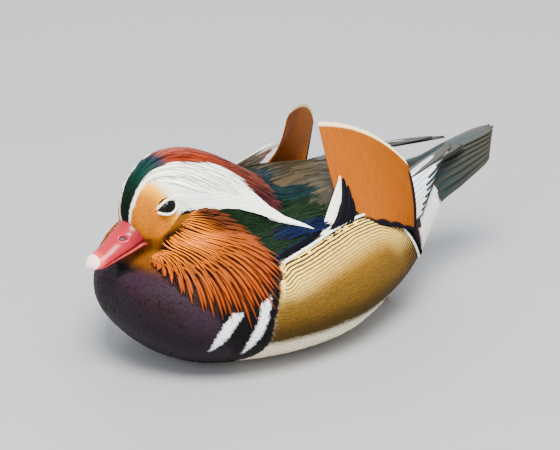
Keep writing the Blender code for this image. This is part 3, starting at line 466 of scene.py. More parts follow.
def plumage_look(name, roughness, sheen=0.0, metal=0.0, shade=0.2, barbs=0.0, shaft=0.0,
                 edges=0.0, rules=False, gloss=0.05, fibre=0.0):
    """Feathers: the stored tint, lighter and darker in patches, with a pale or dark shaft line,
    darker edges and slanting barbs along the vane.  On the flanks fine dark lines follow the
    upper edge, bold beside it and fading below it."""
    look = bpy.data.materials.new(name)
    look.use_nodes = True
    nodes, links = look.node_tree.nodes, look.node_tree.links
    shader = nodes["Principled BSDF"]
    shader.inputs["Roughness"].default_value = roughness
    shader.inputs["Sheen Weight"].default_value = sheen
    shader.inputs["Sheen Roughness"].default_value = 0.4
    shader.inputs["Metallic"].default_value = metal
    shader.inputs["Specular IOR Level"].default_value = gloss
    tint = nodes.new("ShaderNodeAttribute")
    tint.attribute_name = "tint"
    grain, bump = noise_bump(nodes, links, 900.0, 0.2, 0.00015)
    colour = scaled_by(nodes, links, tint.outputs["Color"],
                       ranged(nodes, links, grain.outputs["Fac"], 0, 1, 1 - shade, 1 + shade))
    if rules:
        depth = nodes.new("ShaderNodeAttribute")
        depth.attribute_name = "rule"
        place = nodes.new("ShaderNodeTexCoord")
        drift = nodes.new("ShaderNodeTexNoise")
        drift.inputs["Scale"].default_value = 60.0
        links.new(place.outputs["Object"], drift.inputs["Vector"])
        moved = counted(nodes, links, "ADD", depth.outputs["Fac"],
                        ranged(nodes, links, drift.outputs["Fac"], 0, 1, -0.8, 0.8))
        wave = counted(nodes, links, "SINE", counted(nodes, links, "MULTIPLY", moved, 3.5), None)
        ink = ranged(nodes, links, wave, -0.3, 0.25, 0.0, 1.0)
        fade = ranged(nodes, links, depth.outputs["Fac"], 3.0, 17.0, 0.95, 0.13)
        start = ranged(nodes, links, depth.outputs["Fac"], 0.5, 0.9, 0.0, 1.0)
        ink = counted(nodes, links, "MULTIPLY", ink, fade)
        ink = counted(nodes, links, "MULTIPLY", ink, start)
        dark = counted(nodes, links, "POWER", ranged(nodes, links, ink, 0, 1, 1.0, 0.12), 2.2)
        colour = scaled_by(nodes, links, colour, dark)
    if barbs or shaft or edges or fibre:
        strand = nodes.new("ShaderNodeUVMap")
        strand.uv_map = "Vane"
        apart = nodes.new("ShaderNodeSeparateXYZ")
        links.new(strand.outputs["UV"], apart.inputs["Vector"])
        off = counted(nodes, links, "SUBTRACT", apart.outputs["X"], 0.5)
        side = counted(nodes, links, "ABSOLUTE", off, None)
        if fibre:
            stretch = nodes.new("ShaderNodeMapping")
            stretch.inputs["Scale"].default_value = (fibre, fibre * 0.03, 1.0)
            threads = nodes.new("ShaderNodeTexNoise")
            threads.inputs["Scale"].default_value = 1.0
            threads.inputs["Detail"].default_value = 2.0
            links.new(strand.outputs["UV"], stretch.inputs["Vector"])
            links.new(stretch.outputs["Vector"], threads.inputs["Vector"])
            colour = scaled_by(nodes, links, colour,
                               ranged(nodes, links, threads.outputs["Fac"], 0.3, 0.7, 0.82, 1.15))
        if shaft:
            colour = scaled_by(nodes, links, colour,
                               ranged(nodes, links, side, 0.02, 0.14, 1 + shaft, 1.0))
        if edges:
            colour = scaled_by(nodes, links, colour,
                               ranged(nodes, links, side, 0.2, 0.48, 1.0, 1 - edges))
        if barbs:
            slant = counted(nodes, links, "MULTIPLY", side, -0.25)
            slant = counted(nodes, links, "ADD", slant, apart.outputs["Y"])
            slant = counted(nodes, links, "MULTIPLY", slant, barbs * 2 * math.pi)
            fine = nodes.new("ShaderNodeBump")
            fine.inputs["Strength"].default_value = 0.25
            fine.inputs["Distance"].default_value = 0.0002
            links.new(counted(nodes, links, "SINE", slant, None), fine.inputs["Height"])
            links.new(bump.outputs["Normal"], fine.inputs["Normal"])
            bump = fine
    links.new(colour, shader.inputs["Base Color"])
    links.new(bump.outputs["Normal"], shader.inputs["Normal"])
    return look


def fit(made, look, slot, *nodes):
    """Gives a piece its look, lets it ride with the bird and stand for its solids."""
    made.data.materials.clear()
    made.data.materials.append(look)
    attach(made, "root")
    if nodes:
        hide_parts(*nodes)


fit(skin, plumage_look("skin_down", 0.75, 0.0, rules=True), "white_down", "breast", "back", "belly",
    "flank_left", "flank_right", "rump", "undertail", "neck", "head")


class Surface:
    """A surface that feathers are laid on: the nearest place on it, or the place met from
    outside along a line from the bird's axis."""

    def __init__(self, *meshes):
        points, faces = [], []
        for mesh in meshes:
            start = sum(len(p) for p in points)
            points.append(mesh_points(mesh))
            mesh.calc_loop_triangles()
            corners = np.empty(len(mesh.loop_triangles) * 3, np.int32)
            mesh.loop_triangles.foreach_get("vertices", corners)
            faces.append(corners.reshape(-1, 3) + start)
        self.points = np.vstack(points)
        self.faces = np.vstack(faces)
        self.tree = BVHTree.FromPolygons(self.points.tolist(), self.faces.tolist())

    def near(self, places):
        """The nearest place on the surface and its normal, for every given place."""
        shape = places.shape
        found = [self.tree.find_nearest(p) for p in places.reshape(-1, 3).tolist()]
        on = np.array([f[0] for f in found]).reshape(shape)
        out = np.array([f[1] for f in found]).reshape(shape)
        return on, out

    def outer(self, x, turn, side=-1):
        """The outermost place at x and turn, and a normal eased towards the line from the axis."""
        angle = np.radians(turn)
        out = np.stack([0 * x, side * np.cos(angle), np.sin(angle)], -1)
        axis = np.stack([x, 0 * x, 0 * x + AXIS_HEIGHT], -1)
        flat_out, flat_axis = out.reshape(-1, 3), axis.reshape(-1, 3)
        places, normals = [], []
        for way, start in zip(flat_out.tolist(), flat_axis.tolist()):
            way, start = Vector(way), Vector(start)
            place, normal, _, _ = self.tree.ray_cast(start + way * 300.0, -way)
            if place is None:
                place, normal = start, way
            if normal.dot(way) < 0.25:
                normal = way
            places.append(place)
            normals.append((normal * 0.6 + way * 0.4).normalized())
        return np.array(places).reshape(out.shape), np.array(normals).reshape(out.shape)


hide = Surface(skin.data)


# Small body feathers: thousands of short soft vanes, each rooted in the skin and lying back
# over the next, so that the breast, flanks, back, belly and neck look like close plumage.
def weave(count, rows, columns):
    """Quads of many like grids, one after another."""
    i, j = np.meshgrid(np.arange(rows - 1), np.arange(columns - 1), indexing="ij")
    a = (i * columns + j).ravel()
    one = np.stack([a, a + 1, a + columns + 1, a + columns], -1)
    return (one[None] + (np.arange(count) * rows * columns)[:, None, None]).reshape(-1, 4)


def unit(vectors):
    return vectors / np.maximum(np.linalg.norm(vectors, axis=-1, keepdims=True), 1e-9)


def vanes(paths, ups, halves, camber, columns=3):
    """Feather faces: each path spread to both sides by its half width, and drooping from its
    middle line by the square of the distance from it."""
    along = unit(np.gradient(paths, axis=1))
    across = unit(np.cross(along, ups))
    up = np.cross(across, along)
    u = np.linspace(-1.0, 1.0, columns)
    spread = halves[:, :, None, None] * u[None, None, :, None]
    droop = camber * halves[:, :, None, None] * (u**2)[None, None, :, None]
    return paths[:, :, None] + across[:, :, None] * spread - up[:, :, None] * droop


def store_map(mesh, name, values):
    """A UV map from one pair of numbers for each point."""
    layer = mesh.uv_layers.new(name=name, do_init=False)
    corners = np.empty(len(mesh.loops), np.int32)
    mesh.loops.foreach_get("vertex_index", corners)
    layer.uv.foreach_set("vector", values[corners].astype(np.float32).ravel())


def root_patch(roots, rows, columns):
    """A patch about 0.003 across for every tuft, at its root's place on the skin unrolled about
    its long axis: length along u, turn about the axis along v."""
    u = (roots[:, 0] + 145.0) / 335.0
    v = np.arctan2(roots[:, 2] - 50.0, roots[:, 1]) / (2 * math.pi) + 0.5
    s, t = np.meshgrid(np.linspace(0, 1, rows), np.linspace(0, 1, columns), indexing="ij")
    du = 0.0028 * (s - 0.5).ravel()[None]
    dv = 0.0028 * (t - 0.5).ravel()[None]
    return np.stack([(u * 0.96 + 0.02)[:, None] + du, (v * 0.96 + 0.02)[:, None] + dv],
                    -1).reshape(-1, 2)


def coat(name, paths, ups, halves, colours, look, slot, camber=0.25, columns=3, ruled=False):
    """One mesh of many feathers, with their tints, their own maps and their root patches."""
    faces = vanes(paths, ups, halves, camber, columns)
    count, rows = faces.shape[:2]
    mesh = new_mesh(name, faces.reshape(-1, 3), weave(count, rows, columns))
    if colours.ndim == 2:
        colours = np.repeat(colours[:, None], rows, axis=1)
    give_tint(mesh, np.repeat(colours[:, :, None], columns, axis=2).reshape(-1, 3))
    v, u = np.meshgrid(np.linspace(0, 1, rows), np.linspace(0, 1, columns), indexing="ij")
    own = np.stack([u, v], -1).reshape(1, -1, 2)
    store_map(mesh, "OFBake", root_patch(paths[:, 0], rows, columns))
    store_map(mesh, "Vane", np.repeat(own, count, axis=0).reshape(-1, 2))
    if ruled:
        give_rule(mesh, faces.reshape(-1, 3))
    made = bpy.data.objects.new(name, mesh)
    bpy.context.scene.collection.objects.link(made)
    fit(made, look, slot)
    return made


def scatter(surface, chosen, spacing, chance):
    """Seeded random places on the chosen triangles, one for each spacing squared of area."""
    a, b, c = (surface.points[surface.faces[chosen, k]] for k in range(3))
    area = np.linalg.norm(np.cross(b - a, c - a), axis=1) / 2
    count = int(area.sum() / spacing**2)
    pick = chance.choice(len(area), count, p=area / area.sum())
    s, t = chance.random(count), chance.random(count)
    flip = s + t > 1
    s, t = np.where(flip, 1 - s, s), np.where(flip, 1 - t, t)
    return a[pick] + (b - a)[pick] * s[:, None] + (c - a)[pick] * t[:, None]


def lie(points, normals):
    """Direction that the coat lies in: down and back over the breast, back from the bill over
    the head, straight back along the body and up under the tail."""
    x, y, z = points.T
    front = smoothstep(-70, -112, x) * smoothstep(76, 60, z)
    way = np.stack([1.0 - 0.7 * front, 0 * y, -0.10 - 0.75 * front], -1)
    head = (smoothstep(66, 76, z) * smoothstep(-20, -50, x))[:, None]
    from_bill = unit(points - np.array([-116.0, 0.0, 84.0]))
    from_bill[:, 2] -= 0.25 * smoothstep(-80, -30, x)
    way = way * (1 - head) + (from_bill + np.array([0.5, 0, 0])) * head
    under_tail = smoothstep(70, 110, x)[:, None]
    way = way * (1 - under_tail) + np.array([1.0, 0.0, 0.4]) * under_tail
    way -= normals * (way * normals).sum(-1, keepdims=True)
    return unit(way)


def laid(surface, roots, length, lift, chance, rows=4, wander=0.12, height=None):
    """Paths that start in the skin, follow the coat's lie and rise a little towards their tips."""
    on, normal = surface.near(roots)
    way = lie(on, normal)
    cross = np.cross(normal, way)
    way = unit(way + cross * chance.normal(0, wander, len(on))[:, None])
    length = length * chance.uniform(0.85, 1.15, len(on))
    t = np.linspace(0, 1, rows)
    flat = on[:, None] + way[:, None] * (length[:, None] * t)[:, :, None]
    down, out = surface.near(flat)
    rise = -0.2 + (lift + 0.2) * t[None] ** 0.7
    rise = rise * chance.uniform(0.7, 1.3, len(on))[:, None]
    if height is not None:
        rise = rise + height[:, None]
    return down + out * rise[:, :, None], out


def rounded(halves, rows, root=0.55, tip=0.35):
    """Half widths of a rounded feather: narrow root, full middle and a blunt tip."""
    t = np.linspace(0, 1, rows)
    shape = np.minimum(root + (1 - root) * t / 0.45, 1.0)
    shape = np.where(t > 0.6, 1 - (1 - tip) * ((t - 0.6) / 0.4) ** 2, shape)
    return np.asarray(halves)[:, None] * shape[None]


chance = np.random.default_rng(7)
centres = hide.points[hide.faces].mean(1)
centre_turn = turn_of(centres)
x, z = centres[:, 0], centres[:, 2]
is_head = ((inside(BAND, x, centre_turn) > 0) | (inside(CREST, x, centre_turn) > 0)
           | (inside(RUFF, x, centre_turn) > 0)) & (z > 66)
is_head |= (z > 72) & (x < -84)
is_nape = (inside(NAPE, x, centre_turn) > 0) & (z > 64) & ~is_head
is_flank = (inside(FLANK, x, centre_turn) > 0) & (z > 18) & ~is_head & ~is_nape
is_back = (centre_turn > 10) & (x > -30) & (x < 126) & ~is_head & ~is_nape & ~is_flank
is_breast = (x < -42) & (z > 10) & ~is_head & ~is_nape & ~is_flank
is_under = ~(is_head | is_nape | is_flank | is_back | is_breast) & (z > 5)

is_tail_end = is_under & (x > 70)
soft_look = plumage_look("breast_plumage", 0.5, 0.0, 0.0, 0.25, gloss=0.1)
flank_look = plumage_look("flank_plumage", 0.6, 0.0, 0.0, 0.1, rules=True)
back_look = plumage_look("back_plumage", 0.6, 0.0, 0.0, 0.2)
down_look = plumage_look("white_down", 0.8, 0.0, 0.0, 0.05)
glossy_look = plumage_look("glossy_plumage", 0.45, 0.0, 0.0, 0.3, edges=0.6, gloss=0.03)
for name, chosen, spacing, length, half, lift, look, slot in (
    ("breast_feathers", is_breast, 1.2, 4.4, 1.1, 0.4, soft_look, "maroon_breast"),
    ("flank_feathers_left", is_flank & (centres[:, 1] < 0), 1.5, 6.5, 1.7, 0.45, flank_look,
     "buff_flank"),
    ("flank_feathers_right", is_flank & (centres[:, 1] > 0), 1.5, 6.5, 1.7, 0.45, flank_look,
     "buff_flank"),
    ("back_feathers", is_back, 2.6, 9.0, 2.8, 0.7, back_look, "olive_feathers"),
    ("under_feathers", is_under & ~is_tail_end, 2.2, 7.0, 2.0, 0.7, down_look, "white_down"),
    ("undertail_feathers", is_tail_end, 1.4, 6.5, 1.4, 0.5, down_look, "white_down"),
    ("neck_feathers", is_nape, 1.2, 8.0, 0.7, 0.7, glossy_look, "green_neck"),
):
    roots = scatter(hide, np.flatnonzero(chosen), spacing, chance)
    paths, ups = laid(hide, roots, length, lift, chance)
    halves = rounded(half * chance.uniform(0.8, 1.2, len(roots)), 4)
    colours = markings(paths.reshape(-1, 3)).reshape(paths.shape)
    colours = colours * chance.uniform(0.9, 1.1, (len(roots), 1, 1))
    paths[:, :, 2] = np.maximum(paths[:, :, 2], 0.6)
    coat(name, paths, ups, halves, colours, look, slot, 0.15, 3, look is flank_look)


# Rim of the flank: along its upper edge one row of white feathers and, over them, one of black
# ones, each lying back along the edge.
def along_line(line, fraction):
    """Places at fractions of the way along a line of points."""
    line = np.array(line, float)
    run = np.concatenate([[0.0], np.cumsum(np.linalg.norm(np.diff(line, axis=0), axis=1))])
    at = np.asarray(fraction) * run[-1]
    return np.stack([np.interp(at, run, line[:, k]) for k in range(line.shape[1])], -1)


def draped(surface, roots, tips, bows, lifts, side, rows):
    """Paths from root to tip in the plane of x and turn, bowed sideways, laid over a surface
    with the given heights along them."""
    t = np.linspace(0, 1, rows)
    swing = np.stack([roots[:, 1] - tips[:, 1], tips[:, 0] - roots[:, 0]], -1)
    flat = roots[:, None] + (tips - roots)[:, None] * t[None, :, None]
    flat = flat + swing[:, None] * (4 * bows[:, None] * t * (1 - t))[:, :, None]
    on, out = surface.outer(flat[:, :, 0], flat[:, :, 1], side)
    paths = on + out * lifts[:, :, None]
    for _ in range(2):
        paths[:, 1:-1] = paths[:, 1:-1] * 0.5 + (paths[:, :-2] + paths[:, 2:]) * 0.25
    return paths, out


RIM_LINE = ((-39, 10.5), (-31, 12.3), (-22, 13.8), (-12.6, 15.4), (-3, 17.3), (7, 19), (17, 20),
            (27, 21.2), (36, 20.8), (43, 19.2), (49, 16.6), (54, 12.6), (58.5, 7.5), (62, 1.5),
            (66, -4), (70.5, -11), (75, -19), (80, -28))
for side, end in ((-1, "_left"), (1, "_right")):
    chance = np.random.default_rng(31)
    rows, count = 5, 190
    every = []
    for offset, height in ((-0.6, 1.7), (1.9, 1.9)):
        at = np.linspace(0.0, 0.95, count)
        first, last = along_line(RIM_LINE, at), along_line(RIM_LINE, at + 0.045)
        square = unit(np.stack([first[:, 1] - last[:, 1], last[:, 0] - first[:, 0]], -1))
        roots, tips = first + square * offset, last + square * offset
        lifts = np.tile(height * np.linspace(0.2, 1.0, rows) ** 0.6, (count, 1))
        every.append(draped(hide, roots, tips, np.zeros(count), lifts, side, rows))
    paths = np.concatenate([e[0] for e in every])
    ups = np.concatenate([e[1] for e in every])
    halves = rounded(np.repeat([0.8, 1.5], count) * chance.uniform(0.9, 1.1, 2 * count), rows)
    colours = np.repeat([srgb(250, 250, 248), srgb(10, 10, 18)], count, axis=0)
    coat("flank_rim" + end, paths, ups, halves, colours, down_look, "buff_flank", 0.1)


# Face and crown: the shortest plumes of all, hair-fine, radiating back from the bill round the
# eye, white over the brow and gold at the cheek.
EYE_CENTRE = np.array([-89.6, -15.9, 105.0])
EYE_RADIUS = 6.0
eye_out = unit(np.array([-0.27, -0.93, 0.22]))
eye_forward = np.array([-0.93, 0.2, -0.28])
eye_forward = unit(eye_forward - eye_out * eye_forward.dot(eye_out))
eye_up = np.cross(eye_forward, eye_out)


def eye_gap(points):
    """How far a place is outside the almond of the eye, as a share of its size."""
    left = np.stack([points[:, 0], -np.abs(points[:, 1]), points[:, 2]], -1)
    rel = left - EYE_CENTRE
    return np.hypot(rel @ eye_forward / 6.6, rel @ eye_up / 5.0) + 10 * (rel @ eye_out < -4)


in_ruff = (inside(RUFF, x, centre_turn) > 2) & (near_line(EYE_ARC, x, centre_turn) > 5)
in_crest = inside(CREST, x, centre_turn) > 0.5
is_face = is_head & ~in_ruff & ~(in_crest & (x > -84))
roots = scatter(hide, np.flatnonzero(is_face), 0.95, chance)
near_eye = smoothstep(2.5, 1.0, eye_gap(roots))
paths, ups = laid(hide, roots, 3.4 - 1.4 * near_eye, 0.4, chance, wander=0.1)
clear = (eye_gap(paths[:, 0]) > 1.05) & (eye_gap(paths[:, 2]) > 1.05) & (eye_gap(paths[:, 3]) > 1.05)
roots, paths, ups = roots[clear], paths[clear], ups[clear]
halves = rounded(0.5 * chance.uniform(0.8, 1.2, len(roots)), 4)
colours = markings(paths.reshape(-1, 3)).reshape(paths.shape)
colours = colours * chance.uniform(0.93, 1.05, (len(roots), 1, 1))
face_look = plumage_look("face_plumage", 0.6, 0.0, 0.0, 0.06)
coat("face_feathers", paths, ups, halves, colours, face_look, "white_down")


# Cheek ruff: long narrow hackles that fan out from below and behind the eye, each with a pale shaft and dark
# edges, the short upper ones lying over the long ones of the rim. A layer of nearly black hackles between the
# bright ones is painted shade in the gaps between the strands.
HACKLE_ROOTS = ((-77.0, 60.5), (-84.0, 60.0), (-90.0, 60.0), (-95.5, 58.0), (-98.0, 50.0))
HACKLE_RIM = ((-66.0, 58.0), (-58.0, 54.0), (-51.0, 46.0), (-44.0, 33.0), (-41.5, 20.0),
              (-40.5, 7.0), (-48.0, -3.0), (-57.0, -9.5), (-67.0, -13.5), (-78.0, -14.5),
              (-88.0, -11.0), (-95.5, -3.0), (-100.0, 10.0), (-101.0, 24.0), (-100, 36))


def lance(halves, rows, root=0.35, peak=0.35, tip=0.08):
    """Half widths of a lance-shaped plume, widest at its peak and drawn out to a point."""
    t = np.linspace(0, 1, rows)
    shape = np.where(t < peak, root + (1 - root) * np.sin(0.5 * math.pi * t / peak),
                     tip + (1 - tip) * (1 - ((t - peak) / (1 - peak)) ** 1.8))
    return np.asarray(halves)[:, None] * shape[None]


hackle_look = plumage_look("rust_hackles", 0.5, 0.0, 0.0, 0.1, shaft=0.3, edges=0.8)
rows = 9
for side, end in ((-1, "_left"), (1, "_right")):
    chance = np.random.default_rng(11)
    rays = 60
    # The middle layer, half a step between the rays and toned down to 0.06, is nearly black: painted shade in
    # the gaps between the bright hackles.
    layers = ((0.0, (1.03, 0.94, 1.0, 0.9), (0.0, 0.42), 1.0, 1.8, 1.0),
              (0.5, (0.92, 0.84, 0.96), (0.05,), 0.85, 1.2, 0.06),
              (0.0, (0.8, 0.66, 0.74), (0.0, 0.46), 0.7, 2.2, 1.1))
    fraction = np.concatenate([(np.arange(rays) + layer[0]) / rays for layer in layers])
    reach = np.concatenate([np.resize(layer[1], rays) for layer in layers])
    start = np.concatenate([np.resize(layer[2], rays) for layer in layers])
    half = np.repeat([layer[3] for layer in layers], rays)
    top = np.repeat([layer[4] for layer in layers], rays)
    tone = np.repeat([layer[5] for layer in layers], rays)
    count = len(fraction)
    fraction = fraction + 0.055 * np.sin(2 * math.pi * fraction) + chance.normal(0, 0.001, count)
    fraction = np.clip(fraction, 0, 1)
    reach = reach + chance.uniform(-0.03, 0.03, count)
    base = along_line(HACKLE_ROOTS, fraction)
    rim = along_line(HACKLE_RIM, fraction)
    tips = base + (rim - base) * reach[:, None]
    start = start + chance.uniform(0, 0.05, count)
    roots = base + (rim - base) * start[:, None]
    t = np.linspace(0, 1, rows)
    top = top + chance.uniform(-0.15, 0.2, count)
    place = start[:, None] + (reach - start)[:, None] * t[None]
    lifts = -0.3 + (top[:, None] + 0.3) * np.minimum(1, t / 0.3)[None]
    lifts = lifts + (tone > 0.5)[:, None] * 1.1 * smoothstep(0.5, 0.75, place)
    bows = 0.06 + chance.normal(0, 0.002, count)
    paths, ups = draped(hide, roots, tips, bows, lifts, side, rows)
    alone = (start < 0.1)[:, None] * smoothstep(0.65, 0.35, place)
    gap = (24 + 166 * place) / rays * (1 + 0.8 * alone)
    taper = np.where(t < 0.78, 1.0, np.maximum(1 - ((t - 0.78) / 0.22) ** 1.7, 0.05))
    share = 0.19 + 0.27 * smoothstep(0.35, 0.8, place)
    halves = (half * chance.uniform(0.88, 1.12, count))[:, None] * gap * share * taper[None]
    cream, mid, rust = srgb(234, 186, 96), srgb(208, 124, 34), srgb(206, 102, 32)
    colours = cream + (mid - cream) * smoothstep(0.2, 0.6, place)[:, :, None]
    colours = colours + (rust - colours) * smoothstep(0.6, 1.0, place)[:, :, None]
    upper = smoothstep(0.36, 0.12, fraction)[:, None, None]
    colours = colours + (srgb(140, 62, 28) - colours) * upper * smoothstep(0.1, 0.45, place)[:, :, None]
    tone = tone * chance.uniform(0.8, 1.15, count)
    coat("cheek_hackles" + end, paths, ups, halves, colours * tone[:, None, None], hackle_look,
         "rust_hackles", 0.7)


# Crest: long silky plumes from the brow back over the nape, green, then violet, then copper.
chance = np.random.default_rng(13)
rows = 8
copper_look = plumage_look("crest_plumage", 0.42, 0.0, 0.0, 0.2, shaft=0.3, edges=0.5, gloss=0.08)
CREST_SIDE = ((-106, 87), (-97, 84.5), (-86, 82.5), (-74, 80.5), (-60, 79.5), (-44, 79),
              (-37, 72), (-34, 56), (-29, 43), (-24, 34))
CREST_END = ((4, 90), (3, 77), (-0.5, 61), (-5.6, 50), (-15, 41), (-19, 37))
all_paths, all_ups = [], []
for side in (-1, 1):
    count = 520
    lane = chance.random(count)
    begin = chance.random(count) ** 1.1
    edge = along_line(CREST_SIDE, begin)
    ridge = np.stack([edge[:, 0], 0 * edge[:, 0] + 91], -1)
    roots = ridge + (edge - ridge) * (lane**0.8)[:, None]
    ends = along_line(CREST_END, np.clip(lane * 1.05, 0, 1))
    far = np.linalg.norm(ends - roots, axis=1)
    reach = np.clip(chance.uniform(26, 44, count) / np.maximum(far, 1), 0, 1)
    tips = roots + (ends - roots) * reach[:, None]
    t = np.linspace(0, 1, rows)
    top = 0.9 + 1.2 * chance.random(count)
    lifts = -0.5 + (top[:, None] + 0.5) * np.minimum(1, t / 0.35)[None]
    paths, ups = draped(hide, roots, tips, chance.normal(0.0, 0.015, count), lifts, side, rows)
    all_paths.append(paths)
    all_ups.append(ups)
paths, ups = np.concatenate(all_paths), np.concatenate(all_ups)
halves = lance(1.1 * chance.uniform(0.7, 1.2, len(paths)), rows)
colours = markings(paths.reshape(-1, 3)).reshape(paths.shape)
colours = colours * chance.uniform(0.6, 1.3, (len(paths), 1, 1))
coat("crest_plumes", paths, ups, halves, colours, copper_look, "rust_hackles", 0.4)


# White stripe: the brow plumes run on past the eye and end in a long point over the neck.
chance = np.random.default_rng(17)
rows = 7
UPPER = ((-98, 82), (-86, 81), (-74, 79), (-60, 78), (-46, 77), (-38, 70), (-34.5, 56),
         (-30, 45), (-22, 35.5), (-9, 21))
LOWER = ((-90, 72), (-82, 65), (-72, 61), (-60, 57), (-48, 53), (-39, 49), (-33, 43), (-28, 38),
         (-21, 32), (-9, 20.6))
all_paths, all_ups = [], []
for side in (-1, 1):
    count = 620
    lane, begin = chance.random(count), chance.random(count) * 0.8
    ahead = begin + chance.uniform(0.18, 0.28, count)
    roots = along_line(UPPER, begin)
    roots = roots + (along_line(LOWER, begin) - roots) * lane[:, None]
    tips = along_line(UPPER, np.minimum(ahead, 1))
    tips = tips + (along_line(LOWER, np.minimum(ahead, 1)) - tips) * lane[:, None]
    t = np.linspace(0, 1, rows)
    top = 0.85 + 0.06 * chance.random(count) + 1.8 * smoothstep(0.5, 0.8, ahead) + smoothstep(0.7, 0.9, ahead)
    lifts = -0.4 + (top[:, None] + 0.4) * np.minimum(1, t / 0.4)[None]
    paths, ups = draped(hide, roots, tips, chance.normal(0.0, 0.01, count), lifts, side, rows)
    all_paths.append(paths)
    all_ups.append(ups)
paths, ups = np.concatenate(all_paths), np.concatenate(all_ups)
halves = lance(1.35 * chance.uniform(0.8, 1.2, len(paths)), rows, 0.5, 0.5)
colours = np.tile(srgb(251, 251, 250), (len(paths), 1)) * chance.uniform(0.97, 1.0, (len(paths), 1))
coat("white_stripe", paths, ups, halves, colours, face_look, "white_down", 0.06)


# Wing coverts: a close bed of small feathers over the folded wing, from the shoulder back.
WING_ROWS = ((-12, 15, 34), (-3, 15, 70), (8, 17, 87), (24, 19, 89), (42, 18, 89), (56, 11, 89),
             (70, 0, 87), (82, -6, 78))


def bed(surface, rows, thickness, count, columns, side, under=-0.8):
    """A closed pad over a surface: between its two turns at each x it swells by a rounded
    profile across and a half wave along."""
    table = np.array(rows, float)
    at = np.linspace(0, len(table) - 1, count)
    line = np.stack([np.interp(at, np.arange(len(table)), table[:, k]) for k in range(3)], -1)
    across = np.linspace(0, 1, columns)
    along = np.sin(math.pi * (at + 0.35) / (len(table) - 0.3))
    crown = (1 - np.abs(2 * across - 1) ** 3)[None] * along[:, None]
    x = np.repeat(line[:, :1], columns, axis=1)
    turn = line[:, 1:2] + (line[:, 2:3] - line[:, 1:2]) * across[None]
    on, out = surface.outer(x, turn, side)
    top = on + out * (0.6 + thickness * crown)[:, :, None]
    low = on + out * under
    faces = weave(1, count, columns)
    total = count * columns
    rim = np.concatenate([np.arange(columns), np.arange(1, count) * columns + columns - 1,
                          np.arange(total - 2, total - columns - 1, -1),
                          np.arange(count - 2, 0, -1) * columns])
    ahead = np.roll(rim, -1)
    walls = np.stack([rim, ahead, ahead + total, rim + total], -1)
    return np.vstack([top.reshape(-1, 3), low.reshape(-1, 3)]), np.vstack(
        [faces, faces[:, ::-1] + total, walls])


chance = np.random.default_rng(19)
olive_look = plumage_look("olive_vanes", 0.5, 0.0, 0.0, 0.15, barbs=60.0, shaft=-0.3)
wing_beds = {}
for side, end in ((-1, "_left"), (1, "_right")):
    points, faces = bed(hide, WING_ROWS, 3.4, 44, 30, side)
    mesh = new_mesh("wing_bed" + end, points, faces)
    outward(mesh)
    give_tint(mesh, np.tile(srgb(78, 64, 46), (len(mesh.vertices), 1)))
    made = bpy.data.objects.new("wing_bed" + end, mesh)
    bpy.context.scene.collection.objects.link(made)
    fit(made, back_look, "olive_feathers", "wing" + end)
    wing_beds[side] = Surface(skin.data, mesh)

rows = 8
for side, end in ((-1, "_left"), (1, "_right")):
    count = 90
    place = np.linspace(0, 1, count)
    roots = np.stack([-6 + 62 * place + chance.normal(0, 2, count),
                      18 + 70 * ((np.arange(count) * 0.618034) % 1.0)], -1)
    tips = roots + np.stack([chance.uniform(26, 34, count), 0.10 * (roots[:, 1] - 60) + 6], -1)
    tips[:, 1] = np.clip(tips[:, 1], 20 + 28 * smoothstep(2, 16, tips[:, 0]), 89)
    roots[:, 1] = np.maximum(roots[:, 1], 18 + 30 * smoothstep(0, 14, roots[:, 0]))
    t = np.linspace(0, 1, rows)
    top = 0.9 + 1.0 * (1 - place) + chance.uniform(0, 0.3, count)
    lifts = -0.6 + (top[:, None] + 0.6) * np.minimum(1, t / 0.35)[None]
    paths, ups = draped(wing_beds[side], roots, tips, chance.normal(0, 0.02, count), lifts, side,
                        rows)
    halves = rounded(5.2 * chance.uniform(0.85, 1.15, count), rows, 0.5, 0.3)
    shade = srgb(128, 106, 72) + (srgb(74, 68, 50) - srgb(128, 106, 72)) * chance.random((count, 1))
    coat("scapulars" + end, paths, ups, halves, shade, olive_look, "olive_feathers", 0.15, 5)


# Flight feathers: stiff vanes that show behind the sail, the upper ones olive-grey, the lower
# ones with white outer webs over a blue-green patch, each on a raised shaft.
def bend(start, middle, end, count):
    """Points on a quadratic curve that passes its middle point halfway."""
    start, middle, end = (np.asarray(p, float) for p in (start, middle, end))
    t = np.linspace(0, 1, count)[:, None]
    pull = 2 * middle - (start + end) / 2
    return (1 - t) ** 2 * start + 2 * t * (1 - t) * pull + t**2 * end


def stiff(paths, ups, halves, thickness, camber=0.1, columns=9):
    """Closed vanes: a face above and one below, joined at the rim, with a ridge for the shaft
    that is a narrow bell across the middle line."""
    top = vanes(paths, ups, halves, camber, columns)
    along = unit(np.gradient(paths, axis=1))
    up = np.cross(unit(np.cross(along, ups)), along)
    u = np.linspace(-1, 1, columns)
    shaft = 0.35 * np.exp(-(u / 0.12) ** 2)[None, None, :, None]
    thin = thickness * (1 - 0.6 * np.abs(u))[None, None, :, None]
    lower = top - up[:, :, None] * (thin / 2 + shaft * 0.3)
    top = top + up[:, :, None] * (thin / 2 + shaft * 0.5)
    count, rows = top.shape[:2]
    size = rows * columns
    one = weave(1, rows, columns)
    rim = np.concatenate([np.arange(columns), np.arange(1, rows) * columns + columns - 1,
                          np.arange(size - 2, size - columns - 1, -1),
                          np.arange(rows - 2, 0, -1) * columns])
    ahead = np.roll(rim, -1)
    walls = np.stack([rim, ahead, ahead + size, rim + size], -1)
    cell = np.vstack([one, one[:, ::-1] + size, walls])
    faces = (cell[None] + (np.arange(count) * size * 2)[:, None, None]).reshape(-1, 4)
    points = np.concatenate([top.reshape(count, -1, 3), lower.reshape(count, -1, 3)], 1)
    v, w = np.meshgrid(np.linspace(0, 1, rows), np.linspace(0, 1, columns), indexing="ij")
    own = np.stack([w, v], -1).reshape(1, -1, 2)
    own = np.tile(np.concatenate([own, own], 1), (count, 1, 1))
    return points, faces, own


